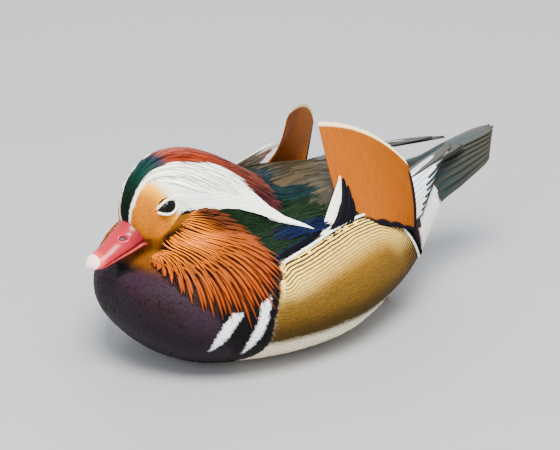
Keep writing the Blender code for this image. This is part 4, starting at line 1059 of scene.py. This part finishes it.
def stiff_piece(name, paths, ups, halves, colours, look, slot, thickness=0.8, nodes=(),
                camber=0.1, columns=9):
    points, faces, own = stiff(paths, ups, halves, thickness, camber, columns)
    mesh = new_mesh(name, points.reshape(-1, 3), faces)
    give_tint(mesh, colours(own, points).reshape(-1, 3))
    store_map(mesh, "OFBake", np.tile(root_patch(paths[:, 0], paths.shape[1], columns).reshape(
        len(paths), -1, 2), (1, 2, 1)).reshape(-1, 2))
    store_map(mesh, "Vane", own.reshape(-1, 2))
    outward(mesh)
    made = bpy.data.objects.new(name, mesh)
    bpy.context.scene.collection.objects.link(made)
    fit(made, look, slot, *nodes)
    return made


def mirrored(points, side):
    """Points drawn for the left side, flipped across the bird's middle for the right."""
    return np.asarray(points, float) * np.array([1.0, -side, 1.0])


PRIMARIES = (
    ((56.0, -34.0, 81.0), (96.0, -22.5, 84.5), (134.0, -8.5, 86.0), 4.8),
    ((58.0, -37.0, 79.5), (108.0, -18.5, 84.0), (150.0, -8.0, 82.5), 4.4),
    ((58.0, -40.0, 78.0), (92.0, -28.5, 83.0), (122.0, -15.0, 85.5), 4.8),
    ((60.0, -43.0, 75.0), (90.0, -32.5, 79.5), (113.0, -21.5, 82.0), 4.8),
    ((62.0, -45.5, 72.0), (86.0, -37.0, 75.5), (104.0, -28.0, 77.5), 4.8),
    ((64.0, -48.0, 68.5), (82.0, -41.0, 71.5), (95.0, -34.0, 73.0), 4.6),
    ((65.0, -50.0, 65.0), (78.0, -44.5, 67.0), (87.0, -39.5, 68.0), 4.2),
)
flight_look = plumage_look("flight_vanes", 0.42, 0.0, 0.0, 0.08, barbs=90.0, shaft=-0.4, gloss=0.2)
for side, end in ((-1, "_left"), (1, "_right")):
    rows = 14
    paths, ups, halves, order = [], [], [], []
    for k in np.linspace(0, len(PRIMARIES) - 1, 11):
        i = min(int(k), len(PRIMARIES) - 2)
        f = k - i
        start, middle, tip = (np.array(PRIMARIES[i][m]) * (1 - f) + np.array(PRIMARIES[i + 1][m]) * f
                              for m in range(3))
        path = bend(start, middle, tip, rows)
        out = path - np.array([0.0, 0.0, AXIS_HEIGHT - 8.0])
        out[:, 0] = 0
        paths.append(mirrored(path, side))
        out[:, 1] *= smoothstep(0.8, 1.8, k)
        ups.append(mirrored(unit(out), side))
        halves.append(PRIMARIES[i][3] * (1 - f) + PRIMARIES[i + 1][3] * f)
        order.append(k)
    paths, ups = np.array(paths), np.array(ups)
    halves = rounded(np.array(halves) * 0.95, rows, 0.6, 0.35)
    order = np.array(order)

    def flight_colours(own, points):
        """Olive-grey over, then white outer webs with dark edges towards the lower feathers."""
        u, v = own[:, :, 0], own[:, :, 1]
        low = (order[:, None] + 0 * u).ravel()
        outer = (u if side < 0 else 1 - u).ravel()
        v = v.ravel()
        colour = np.tile(srgb(92, 86, 68), (low.size, 1))
        colour = paint(colour, srgb(20, 20, 20), smoothstep(0.25, 0.1, outer)
                       * smoothstep(1.2, 0.8, low))
        colour = paint(colour, srgb(24, 26, 28), smoothstep(0.9, 1.3, low))
        colour = paint(colour, srgb(14, 70, 76), smoothstep(1.4, 1.8, low)
                       * smoothstep(0.6, 0.4, v))
        web = smoothstep(0.86, 0.8, outer)
        colour = paint(colour, srgb(244, 245, 246), smoothstep(1.6, 2.0, low) * web
                       * smoothstep(0.05 + 0.12 * (4 - low), 0.1 + 0.12 * (4 - low), v))
        return colour

    stiff_piece("flight_feathers" + end, paths, ups, halves, flight_colours, flight_look,
                "olive_feathers")


# White-edged plumes before the sail: a few narrow upright vanes that rise from the shoulder,
# white in front and blue-black behind.
white_vane_look = plumage_look("white_vanes", 0.55, 0.0, 0.0, 0.06, barbs=40.0)
WEDGE = (
    ((-6.0, 17.5), (8.0, -47.5, 85.0), (24.0, -35.3, 98.6), 2.7, 0),
    ((-3.5, 17.0), (12.0, -47.0, 86.0), (26.3, -32.9, 100.0), 2.5, 0),
    ((0.0, 17.5), (16.5, -48.0, 85.0), (30.0, -31.0, 99.0), 2.9, 1),
    ((4.0, 18.0), (19.5, -49.0, 82.5), (29.5, -36.5, 94.0), 2.9, 1),
    ((8.0, 18.5), (21.0, -50.0, 80.0), (28.5, -42.0, 88.0), 2.6, 1),
)
for side, end in ((-1, "_left"), (1, "_right")):
    rows = 12
    paths, ups = [], []
    for (x0, turn0), middle, tip, half, kind in WEDGE:
        on, out = wing_beds[side].outer(np.array([x0]), np.array([turn0]), side)
        start = mirrored((on - out * 0.6)[0], side)
        path = bend(start, middle, tip, rows)
        out = path - np.array([0.0, 0.0, AXIS_HEIGHT - 8.0])
        out[:, 0] = 0
        paths.append(mirrored(path, side))
        ups.append(mirrored(unit(out), side))
    kinds = np.array([w[4] for w in WEDGE])
    halves = lance(np.array([w[3] for w in WEDGE]), rows, 0.5, 0.5, 0.2)

    def wedge_colours(own, points):
        pick = np.repeat(kinds, own.shape[1])
        colour = np.tile(srgb(244, 243, 240), (pick.size, 1))
        front = own[:, :, 0].ravel() if side > 0 else 1 - own[:, :, 0].ravel()
        first = (np.repeat(np.arange(len(kinds)) == 0, own.shape[1])) & (front < 0.1)
        inner = np.tile(np.arange(own.shape[1]) >= own.shape[1] // 2, len(kinds))
        dark = np.where(inner, first, pick > 0)
        return paint(colour, srgb(12, 13, 24), dark.astype(float))

    stiff_piece("shoulder_plumes" + end, np.array(paths), np.array(ups), halves, wedge_colours,
                white_vane_look, "white_down", 0.9)


# Sails: on each side one tertial's inner web is a broad upright fan, orange-tan, with a soft
# pale fringe on top, a dark line down its rear edge and a dark scalloped base.
def sail_face(count, columns):
    """A surface blended between four bent edges, pushed out by a rounded bulge."""
    front = bend((19, -48, 74), (22, -30, 99), (25.5, -13, 127.5), count)
    rear = bend((68, -54, 60), (70, -51, 82), (68.6, -45, 101), count)
    top = bend((25.5, -13, 127.5), (50, -29, 120.5), (68.6, -45, 101), columns)
    base = bend((19, -48, 74), (44, -54, 70), (68, -54, 60), columns)
    u = np.linspace(0, 1, columns)[None, :, None]
    corner = 0.05 * smoothstep(0.12, 0.0, u) ** 2 + 0.06 * smoothstep(0.85, 1.0, u) ** 2
    v = np.linspace(0, 1, count)[:, None, None] * (1 - corner)
    face = (1 - u) * front[:, None] + u * rear[:, None] + (1 - v) * base[None] + v * top[None]
    face = face - ((1 - u) * (1 - v) * base[0] + u * (1 - v) * base[-1]
                   + (1 - u) * v * top[0] + u * v * top[-1])
    normal = unit(np.cross(np.gradient(face, axis=1), np.gradient(face, axis=0)))
    return face - normal * 3.0 * np.sin(math.pi * u) * np.sin(math.pi * v), normal


def sail_colours(u, v, far):
    """Orange, deeper towards the rear, with a pale fringe on top, a dark rear line and a dark scalloped band
    where the vane leaves the wing. On the far sail the orange is made brighter past its front strip: painted
    light, in place of the light the near sail keeps off it."""
    colour = np.tile(srgb(204, 132, 48), (u.size, 1))
    colour = paint(colour, srgb(190, 112, 36), smoothstep(0.3, 1.0, u) * 0.8)
    # Painted light: the far sail's orange is made half again as bright past its front strip, standing in for
    # the light that the near sail's shade takes from it.
    colour = colour * (1 + 0.5 * far * smoothstep(0.2, 0.4, u))[:, None]
    colour = paint(colour, srgb(250, 244, 232), smoothstep(0.978, 0.988, v))
    colour = paint(colour, srgb(34, 18, 26), smoothstep(0.95, 0.965, u) * smoothstep(0.9, 0.8, v))
    scallop = 0.085 - 0.055 * u + 0.022 * np.abs(np.sin(u * 5 * math.pi))
    return paint(colour, srgb(16, 15, 26), smoothstep(scallop + 0.008, scallop - 0.008, v))


sail_look = plumage_look("orange_sail_vane", 0.55, 0.0, 0.0, 0.08, fibre=160.0)
for side, end in ((-1, "_left"), (1, "_right")):
    count, columns = 70, 60
    face, normal = sail_face(count, columns)
    if side > 0:
        across = np.linspace(0, 1, columns)[None, :, None]
        upward = np.linspace(0, 1, count)[:, None, None]
        face = face - normal * 5.0 * smoothstep(0.35, 0.0, across) ** 2 * np.sin(
            math.pi * np.minimum(upward * 1.1, 1.0))
    v, u = np.meshgrid(np.linspace(0, 1, count), np.linspace(0, 1, columns), indexing="ij")
    ripple = 0.18 * np.sin(u * 2 * math.pi * 26 + 1.5 * np.sin(v * 6))
    half = (0.2 + 0.35 * (1 - v))[:, :, None]
    top = face + normal * (half + 0.2 * ripple[:, :, None])
    low = face - normal * (half - 0.2 * ripple[:, :, None])
    total = count * columns
    quads = weave(1, count, columns)
    rim = np.concatenate([np.arange(columns), np.arange(1, count) * columns + columns - 1,
                          np.arange(total - 2, total - columns - 1, -1),
                          np.arange(count - 2, 0, -1) * columns])
    ahead = np.roll(rim, -1)
    walls = np.stack([rim, ahead, ahead + total, rim + total], -1)
    points = mirrored(np.vstack([top.reshape(-1, 3), low.reshape(-1, 3)]), side)
    mesh = new_mesh("sail_vane" + end, points, np.vstack([quads, quads[:, ::-1] + total, walls]))
    tint = sail_colours(u.ravel(), v.ravel(), float(side > 0))
    give_tint(mesh, np.vstack([tint, tint]))
    store_map(mesh, "Vane", np.tile(np.stack([u.ravel(), v.ravel()], -1), (2, 1)))
    outward(mesh)
    made = bpy.data.objects.new("sail_vane" + end, mesh)
    bpy.context.scene.collection.objects.link(made)
    fit(made, sail_look, "orange_sail", "sail" + end)
    chance = np.random.default_rng(29)
    hairs = 230
    column = np.linspace(1, columns - 2, hairs)
    at = column.astype(int)
    along = (column - at)[:, None]
    crest = face[-1][at] * (1 - along) + face[-1][at + 1] * along
    below = face[-5][at] * (1 - along) + face[-5][at + 1] * along
    rise = unit(crest - below) + normal[-1][at] * chance.normal(0, 0.25, (hairs, 1))
    rise = rise + unit(face[-1][at + 1] - face[-1][at]) * chance.uniform(0.1, 0.6, (hairs, 1))
    reach = chance.uniform(0.7, 1.5, hairs)[:, None, None] * np.linspace(-0.5, 1, 4)[None, :, None]
    paths = mirrored(crest[:, None] + unit(rise)[:, None] * reach, side)
    ups = np.repeat(mirrored(normal[-1][at], side)[:, None], 4, axis=1)
    pale = np.tile(srgb(250, 246, 236), (hairs, 1))
    coat("sail_fringe" + end, paths, ups, lance(np.full(hairs, 0.4), 4, 0.8, 0.3, 0.1), pale,
         face_look, "orange_sail", 0.1)


# Nape plumes: long green and blue plumes of the lower neck that fray out over the shoulder.
chance = np.random.default_rng(23)
rows = 8
NAPE_FROM = ((-24, 84), (-22, 74), (-24, 60), (-28, 46), (-34, 32), (-38, 20))
NAPE_TO = ((14, 72), (26, 62), (34, 53), (22, 40), (10, 29), (4, 20))
for side, end in ((-1, "_left"), (1, "_right")):
    count = 420
    lane = (np.arange(count) * 0.618034) % 1.0
    back = chance.random(count)
    first = along_line(NAPE_FROM, lane)
    last = along_line(NAPE_TO, lane)
    roots = first + (last - first) * (0.5 * back)[:, None]
    tips = first + (last - first) * (0.5 + 0.52 * back + chance.normal(0, 0.03, count))[:, None]
    t = np.linspace(0, 1, rows)
    top = 1.7 + 0.9 * (1 - back) + chance.uniform(0, 0.4, count)
    lifts = -0.5 + (top[:, None] + 0.5) * np.minimum(1, t / 0.35)[None]
    paths, ups = draped(wing_beds[side], roots, tips, chance.normal(0, 0.02, count), lifts, side,
                        rows)
    halves = lance(1.05 * chance.uniform(0.7, 1.25, count), rows, 0.4, 0.45, 0.06)
    green, teal, navy = srgb(26, 50, 24), srgb(6, 44, 48), srgb(14, 30, 74)
    colours = paint(np.tile(green, (count, 1)), teal, smoothstep(0.62, 0.4, lane))
    colours = paint(colours, navy, smoothstep(0.84, 0.92, lane))
    colours = colours * chance.uniform(0.5, 1.5, (count, 1))
    coat("nape_plumes" + end, paths, ups, halves, colours, glossy_look, "green_neck", 0.3)


# Tail: five pairs of broad vanes in tiers, the middle pair on top, olive-brown with a blue-green
# gloss, under a bed of short coverts.
COVERT_ROWS = ((101, 40, 140), (108, 6, 174), (116, -2, 182), (125, 2, 178), (132, 30, 150))
points, faces = bed(hide, COVERT_ROWS, 1.6, 26, 40, -1)
mesh = new_mesh("tail_bed", points, faces)
outward(mesh)
bed_points = mesh_points(mesh)
give_tint(mesh, paint(np.tile(srgb(242, 242, 240), (len(bed_points), 1)), srgb(74, 62, 46),
                      smoothstep(20, 27, turn_of(bed_points))))
tail_bed = bpy.data.objects.new("tail_bed", mesh)
bpy.context.scene.collection.objects.link(tail_bed)
fit(tail_bed, back_look, "olive_feathers", "tail")
rows = 16
paths, ups, order, sides = [], [], [], []
for side in (-1, 1):
    for k in np.arange(0, 5, 0.8):
        angle = 80.0 - 16.0 * k
        on, out = hide.outer(np.array([112.0]), np.array([angle]), -1)
        start = (on + out * 1.6)[0]
        tip = np.array([176.0, -1.6, 86.0]) + k * np.array([-2.4, -2.1, -2.2])
        middle = (start + tip) / 2 + np.array([-3.0, 0.4 + 0.5 * k, 0.8 - 0.7 * k])
        path = bend(start, middle, tip, rows)
        out = path - np.array([0.0, 0.0, AXIS_HEIGHT - 8.0])
        out[:, 0] = 0
        paths.append(mirrored(path, side))
        ups.append(mirrored(unit(out), side))
        order.append(k)
        sides.append(side)
order, sides = np.array(order), np.array(sides)
halves = rounded(np.full(len(paths), 5.4), rows, 0.6, 0.9)
halves = halves * np.sqrt(np.maximum(1 - np.maximum(np.linspace(0, 1, rows) - 0.84, 0) ** 2
                                     / 0.0258, 0.01))[None]


def tail_colours(own, points):
    """Blue-green along the middle of each vane, olive-brown along its edges and at its tip."""
    across, along = np.abs(2 * own[:, :, 0] - 1).ravel(), own[:, :, 1].ravel()
    colour = np.tile(srgb(88, 80, 62), (across.size, 1))
    colour = paint(colour, srgb(40, 70, 70), smoothstep(0.95, 0.3, across)
                   * smoothstep(1.0, 0.7, along))
    return paint(colour, srgb(118, 100, 78), smoothstep(0.94, 1.0, along) * 0.7)


tail_look = plumage_look("tail_vanes", 0.45, 0.0, 0.0, 0.12, barbs=110.0, shaft=-0.35, gloss=0.25)
stiff_piece("tail_feathers", np.array(paths), np.array(ups), halves, tail_colours, tail_look,
            "olive_feathers", 0.9)


# Bill: a coral-red horny sheath in an upper and a lower half with the line of the mouth
# between, a slot-shaped nostril on each side and a pale nail at the tip.
BILL = (
    (-101.0, 92.0, -96.0, 86.0, 0.0, 0.8, 2.0, 2.6), (-101.5, 95.5, -95.5, 84.0, 9.6, 0.8, 2.0, 2.6),
    (-107.4, 94.2, -101.2, 83.2, 10.0, 0.8, 2.0, 2.6),
    (-112.5, 89.6, -107.0, 80.8, 9.3, 0.8, 2.0, 2.6),
    (-118.5, 85.0, -114.0, 78.2, 8.2, 0.8, 2.0, 2.6),
    (-124.5, 81.3, -121.0, 75.7, 7.5, 0.8, 2.0, 2.6),
    (-130.0, 78.2, -127.5, 73.2, 6.7, 0.8, 2.0, 2.6),
    (-133.3, 76.0, -131.6, 71.8, 4.8, 0.75, 2.0, 2.4),
    (-135.0, 73.4, -135.0, 73.4, 0.0, 0.5, 2.0, 2.0),
)
CHIN = (
    (-94.0, 81.0, -94.0, 81.0, 0.0, 0.3, 2.0, 2.2), (-95.5, 83.2, -94.0, 79.0, 8.6, 0.3, 2.6, 2.2),
    (-101.6, 82.7, -99.6, 78.4, 8.9, 0.3, 2.6, 2.2),
    (-107.4, 80.3, -105.6, 76.3, 8.1, 0.3, 2.6, 2.2),
    (-114.4, 77.7, -113.0, 74.3, 7.0, 0.3, 2.6, 2.2),
    (-121.4, 75.2, -120.2, 72.4, 6.2, 0.3, 2.6, 2.2),
    (-127.8, 72.7, -127.0, 70.6, 4.6, 0.3, 2.6, 2.2),
    (-130.6, 71.0, -130.6, 71.0, 0.0, 0.5, 2.0, 2.0),
)


def horn_look(name, roughness):
    look = bpy.data.materials.new(name)
    look.use_nodes = True
    nodes, links = look.node_tree.nodes, look.node_tree.links
    shader = nodes["Principled BSDF"]
    shader.inputs["Roughness"].default_value = roughness
    shader.inputs["Specular IOR Level"].default_value = 0.3
    shader.inputs["Coat Weight"].default_value = 0.15
    shader.inputs["Coat Roughness"].default_value = 0.2
    tint = nodes.new("ShaderNodeAttribute")
    tint.attribute_name = "tint"
    grain, bump = noise_bump(nodes, links, 420.0, 0.15, 0.0002)
    ramp = nodes.new("ShaderNodeMapRange")
    ramp.inputs["To Min"].default_value = 0.88
    ramp.inputs["To Max"].default_value = 1.1
    links.new(grain.outputs["Fac"], ramp.inputs["Value"])
    scaled = nodes.new("ShaderNodeVectorMath")
    scaled.operation = "SCALE"
    links.new(tint.outputs["Color"], scaled.inputs[0])
    links.new(ramp.outputs["Result"], scaled.inputs["Scale"])
    links.new(scaled.outputs["Vector"], shader.inputs["Base Color"])
    links.new(bump.outputs["Normal"], shader.inputs["Normal"])
    return look


NAIL = (
    (-128.8, 78.2, -128.4, 77.4, 0.0, 0.6, 2.0, 2.0), (-129.2, 79.3, -128.6, 74.8, 5.0, 0.7, 2.0, 2.4),
    (-131.0, 78.2, -130.2, 73.6, 6.0, 0.75, 2.0, 2.4),
    (-133.6, 76.4, -132.2, 71.8, 4.9, 0.75, 2.0, 2.4),
    (-135.6, 73.2, -135.6, 73.2, 0.0, 0.5, 2.0, 2.0),
)
horn = horn_look("bill_horn", 0.35)
for name, stations, nodes, slot in (
    ("bill_sheath", BILL, ("bill_upper",), "coral_bill"),
    ("lower_bill", CHIN, ("bill_lower",), "coral_bill"),
    ("pale_nail", NAIL, ("bill_nail",), "pale_nail"),
):
    rings = tilted_rings(stations, 80, 64)
    points = rings.reshape(-1, 3)
    mesh = new_mesh(name, points, loft_faces(80, 64))
    outward(mesh)
    points = mesh_points(mesh)
    flat = np.stack([points[:, 0], np.abs(points[:, 1]), points[:, 2]], -1)
    hole = np.array([-112.6, 5.6, 87.2])
    slot_gap = np.linalg.norm((flat - hole) / np.array([3.8, 2.6, 1.5]), axis=1)
    sunk = smoothstep(1.0, 0.6, slot_gap)
    raised = smoothstep(1.9, 1.35, slot_gap) * (1 - sunk)
    points[:, 1] += np.sign(points[:, 1]) * (0.3 * raised - 1.0 * sunk)
    points[:, 2] += 0.3 * raised - 0.6 * sunk
    mesh.vertices.foreach_set("co", (points * MM).astype(np.float32).ravel())
    colour = np.tile(srgb(228, 88, 90), (len(points), 1))
    colour = paint(colour, srgb(214, 60, 66), smoothstep(-114, -104, points[:, 0]))
    colour = paint(colour, srgb(238, 160, 152), smoothstep(-124, -130, points[:, 0]) * 0.7)
    if name != "bill_sheath":
        colour = paint(colour, srgb(240, 176, 166), np.full(len(points), 0.5))
    if name == "pale_nail":
        colour = np.tile(np.array([0.86, 0.66, 0.6]), (len(points), 1))
    # The sunk nostril slot is painted dark red: painted shade inside its opening.
    colour = paint(colour, srgb(96, 24, 28), sunk * float(name == "bill_sheath"))
    give_tint(mesh, colour)
    made = bpy.data.objects.new(name, mesh)
    bpy.context.scene.collection.objects.link(made)
    fit(made, horn, slot, *nodes)


# Eyes: glossy dark brown balls with a black pupil under a clear wet surface, set in the head
# between two thin white-feathered lids that meet in a point towards the bill.
eye_look = bpy.data.materials.new("wet_eye")
eye_look.use_nodes = True
eye_shader = eye_look.node_tree.nodes["Principled BSDF"]
eye_shader.inputs["Roughness"].default_value = 0.12
eye_shader.inputs["Specular IOR Level"].default_value = 0.0
eye_shader.inputs["Coat Weight"].default_value = 0.3
eye_shader.inputs["Coat Roughness"].default_value = 0.02
eye_tint = eye_look.node_tree.nodes.new("ShaderNodeAttribute")
eye_tint.attribute_name = "tint"
eye_look.node_tree.links.new(eye_tint.outputs["Color"], eye_shader.inputs["Base Color"])


def ball_rings(count, sides):
    """Rings of a unit ball about the X axis."""
    around = np.linspace(0, math.pi, count)[:, None]
    turn = np.linspace(0, 2 * math.pi, sides, endpoint=False)[None]
    return np.stack([np.cos(around) + 0 * turn, np.sin(around) * np.cos(turn),
                     np.sin(around) * np.sin(turn)], -1)


for side, end in ((-1, "_left"), (1, "_right")):
    rings = ball_rings(40, 48).reshape(-1, 3)
    off = np.arccos(np.clip(rings @ eye_out, -1, 1))
    dome = rings * (EYE_RADIUS + 0.35 * smoothstep(0.75, 0.0, off))[:, None]
    mesh = new_mesh("eyeball" + end, mirrored(dome + EYE_CENTRE, side), loft_faces(40, 48))
    outward(mesh)
    points = mirrored(mesh_points(mesh), side) - EYE_CENTRE
    off = np.arccos(np.clip(unit(points) @ eye_out, -1, 1))
    colour = paint(np.tile(srgb(5, 5, 5), (len(off), 1)), srgb(26, 16, 12),
                   smoothstep(0.42, 0.5, off))
    give_tint(mesh, colour)
    made = bpy.data.objects.new("eyeball" + end, mesh)
    bpy.context.scene.collection.objects.link(made)
    fit(made, eye_look, "dark_eye", "eye" + end)

    turn = np.linspace(0, 2 * math.pi, 60, endpoint=False)
    reach = 5.7 * np.cos(turn) + 0.9 * np.maximum(np.cos(turn), 0) ** 6 - 0.4 * np.maximum(
        -np.cos(turn), 0) ** 6
    rise = 4.1 * np.sin(turn) * (1 - 0.12 * np.cos(turn))
    spread = eye_forward * reach[:, None] + eye_up * rise[:, None]
    shell = EYE_RADIUS + 0.3
    depth = np.sqrt(np.maximum(shell**2 - (spread**2).sum(1), 0.1))
    centre = EYE_CENTRE + spread + eye_out * depth[:, None]
    out = (centre - EYE_CENTRE) / shell
    along = unit(np.roll(centre, -1, axis=0) - np.roll(centre, 1, axis=0))
    across = np.cross(along, out)
    angle = np.linspace(0, 2 * math.pi, 12, endpoint=False)[None, :, None]
    tube = centre[:, None] + 0.85 * (np.cos(angle) * across[:, None] + np.sin(angle) * out[:, None])
    quads = loft_faces(61, 12) % (60 * 12)
    mesh = new_mesh("lids" + end, mirrored(tube.reshape(-1, 3), side), quads)
    outward(mesh)
    give_tint(mesh, np.tile(srgb(248, 246, 240), (len(mesh.vertices), 1)))
    made = bpy.data.objects.new("lids" + end, mesh)
    bpy.context.scene.collection.objects.link(made)
    fit(made, face_look, "white_down")


# Legs and feet: ochre scaled skin, tucked under the rear of the belly.
foot_look = bpy.data.materials.new("scaled_feet")
foot_look.use_nodes = True
nodes, links = foot_look.node_tree.nodes, foot_look.node_tree.links
foot_shader = nodes["Principled BSDF"]
foot_shader.inputs["Roughness"].default_value = 0.55
place = nodes.new("ShaderNodeTexCoord")
cells = nodes.new("ShaderNodeTexVoronoi")
cells.inputs["Scale"].default_value = 700.0
links.new(place.outputs["Object"], cells.inputs["Vector"])
mix = nodes.new("ShaderNodeMix")
mix.data_type = "RGBA"
mix.inputs["A"].default_value = (*srgb(206, 134, 44), 1.0)
mix.inputs["B"].default_value = (*srgb(120, 76, 30), 1.0)
links.new(cells.outputs["Distance"], mix.inputs["Factor"])
links.new(mix.outputs["Result"], foot_shader.inputs["Base Color"])
scale_bump = nodes.new("ShaderNodeBump")
scale_bump.inputs["Strength"].default_value = 0.4
scale_bump.inputs["Distance"].default_value = 0.0003
scale_bump.invert = True
links.new(cells.outputs["Distance"], scale_bump.inputs["Height"])
links.new(scale_bump.outputs["Normal"], foot_shader.inputs["Normal"])
for name in ("leg_left", "leg_right", "foot_left", "foot_right"):
    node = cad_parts[name]
    for k in range(len(node.material_slots)):
        node.material_slots[k].material = foot_look
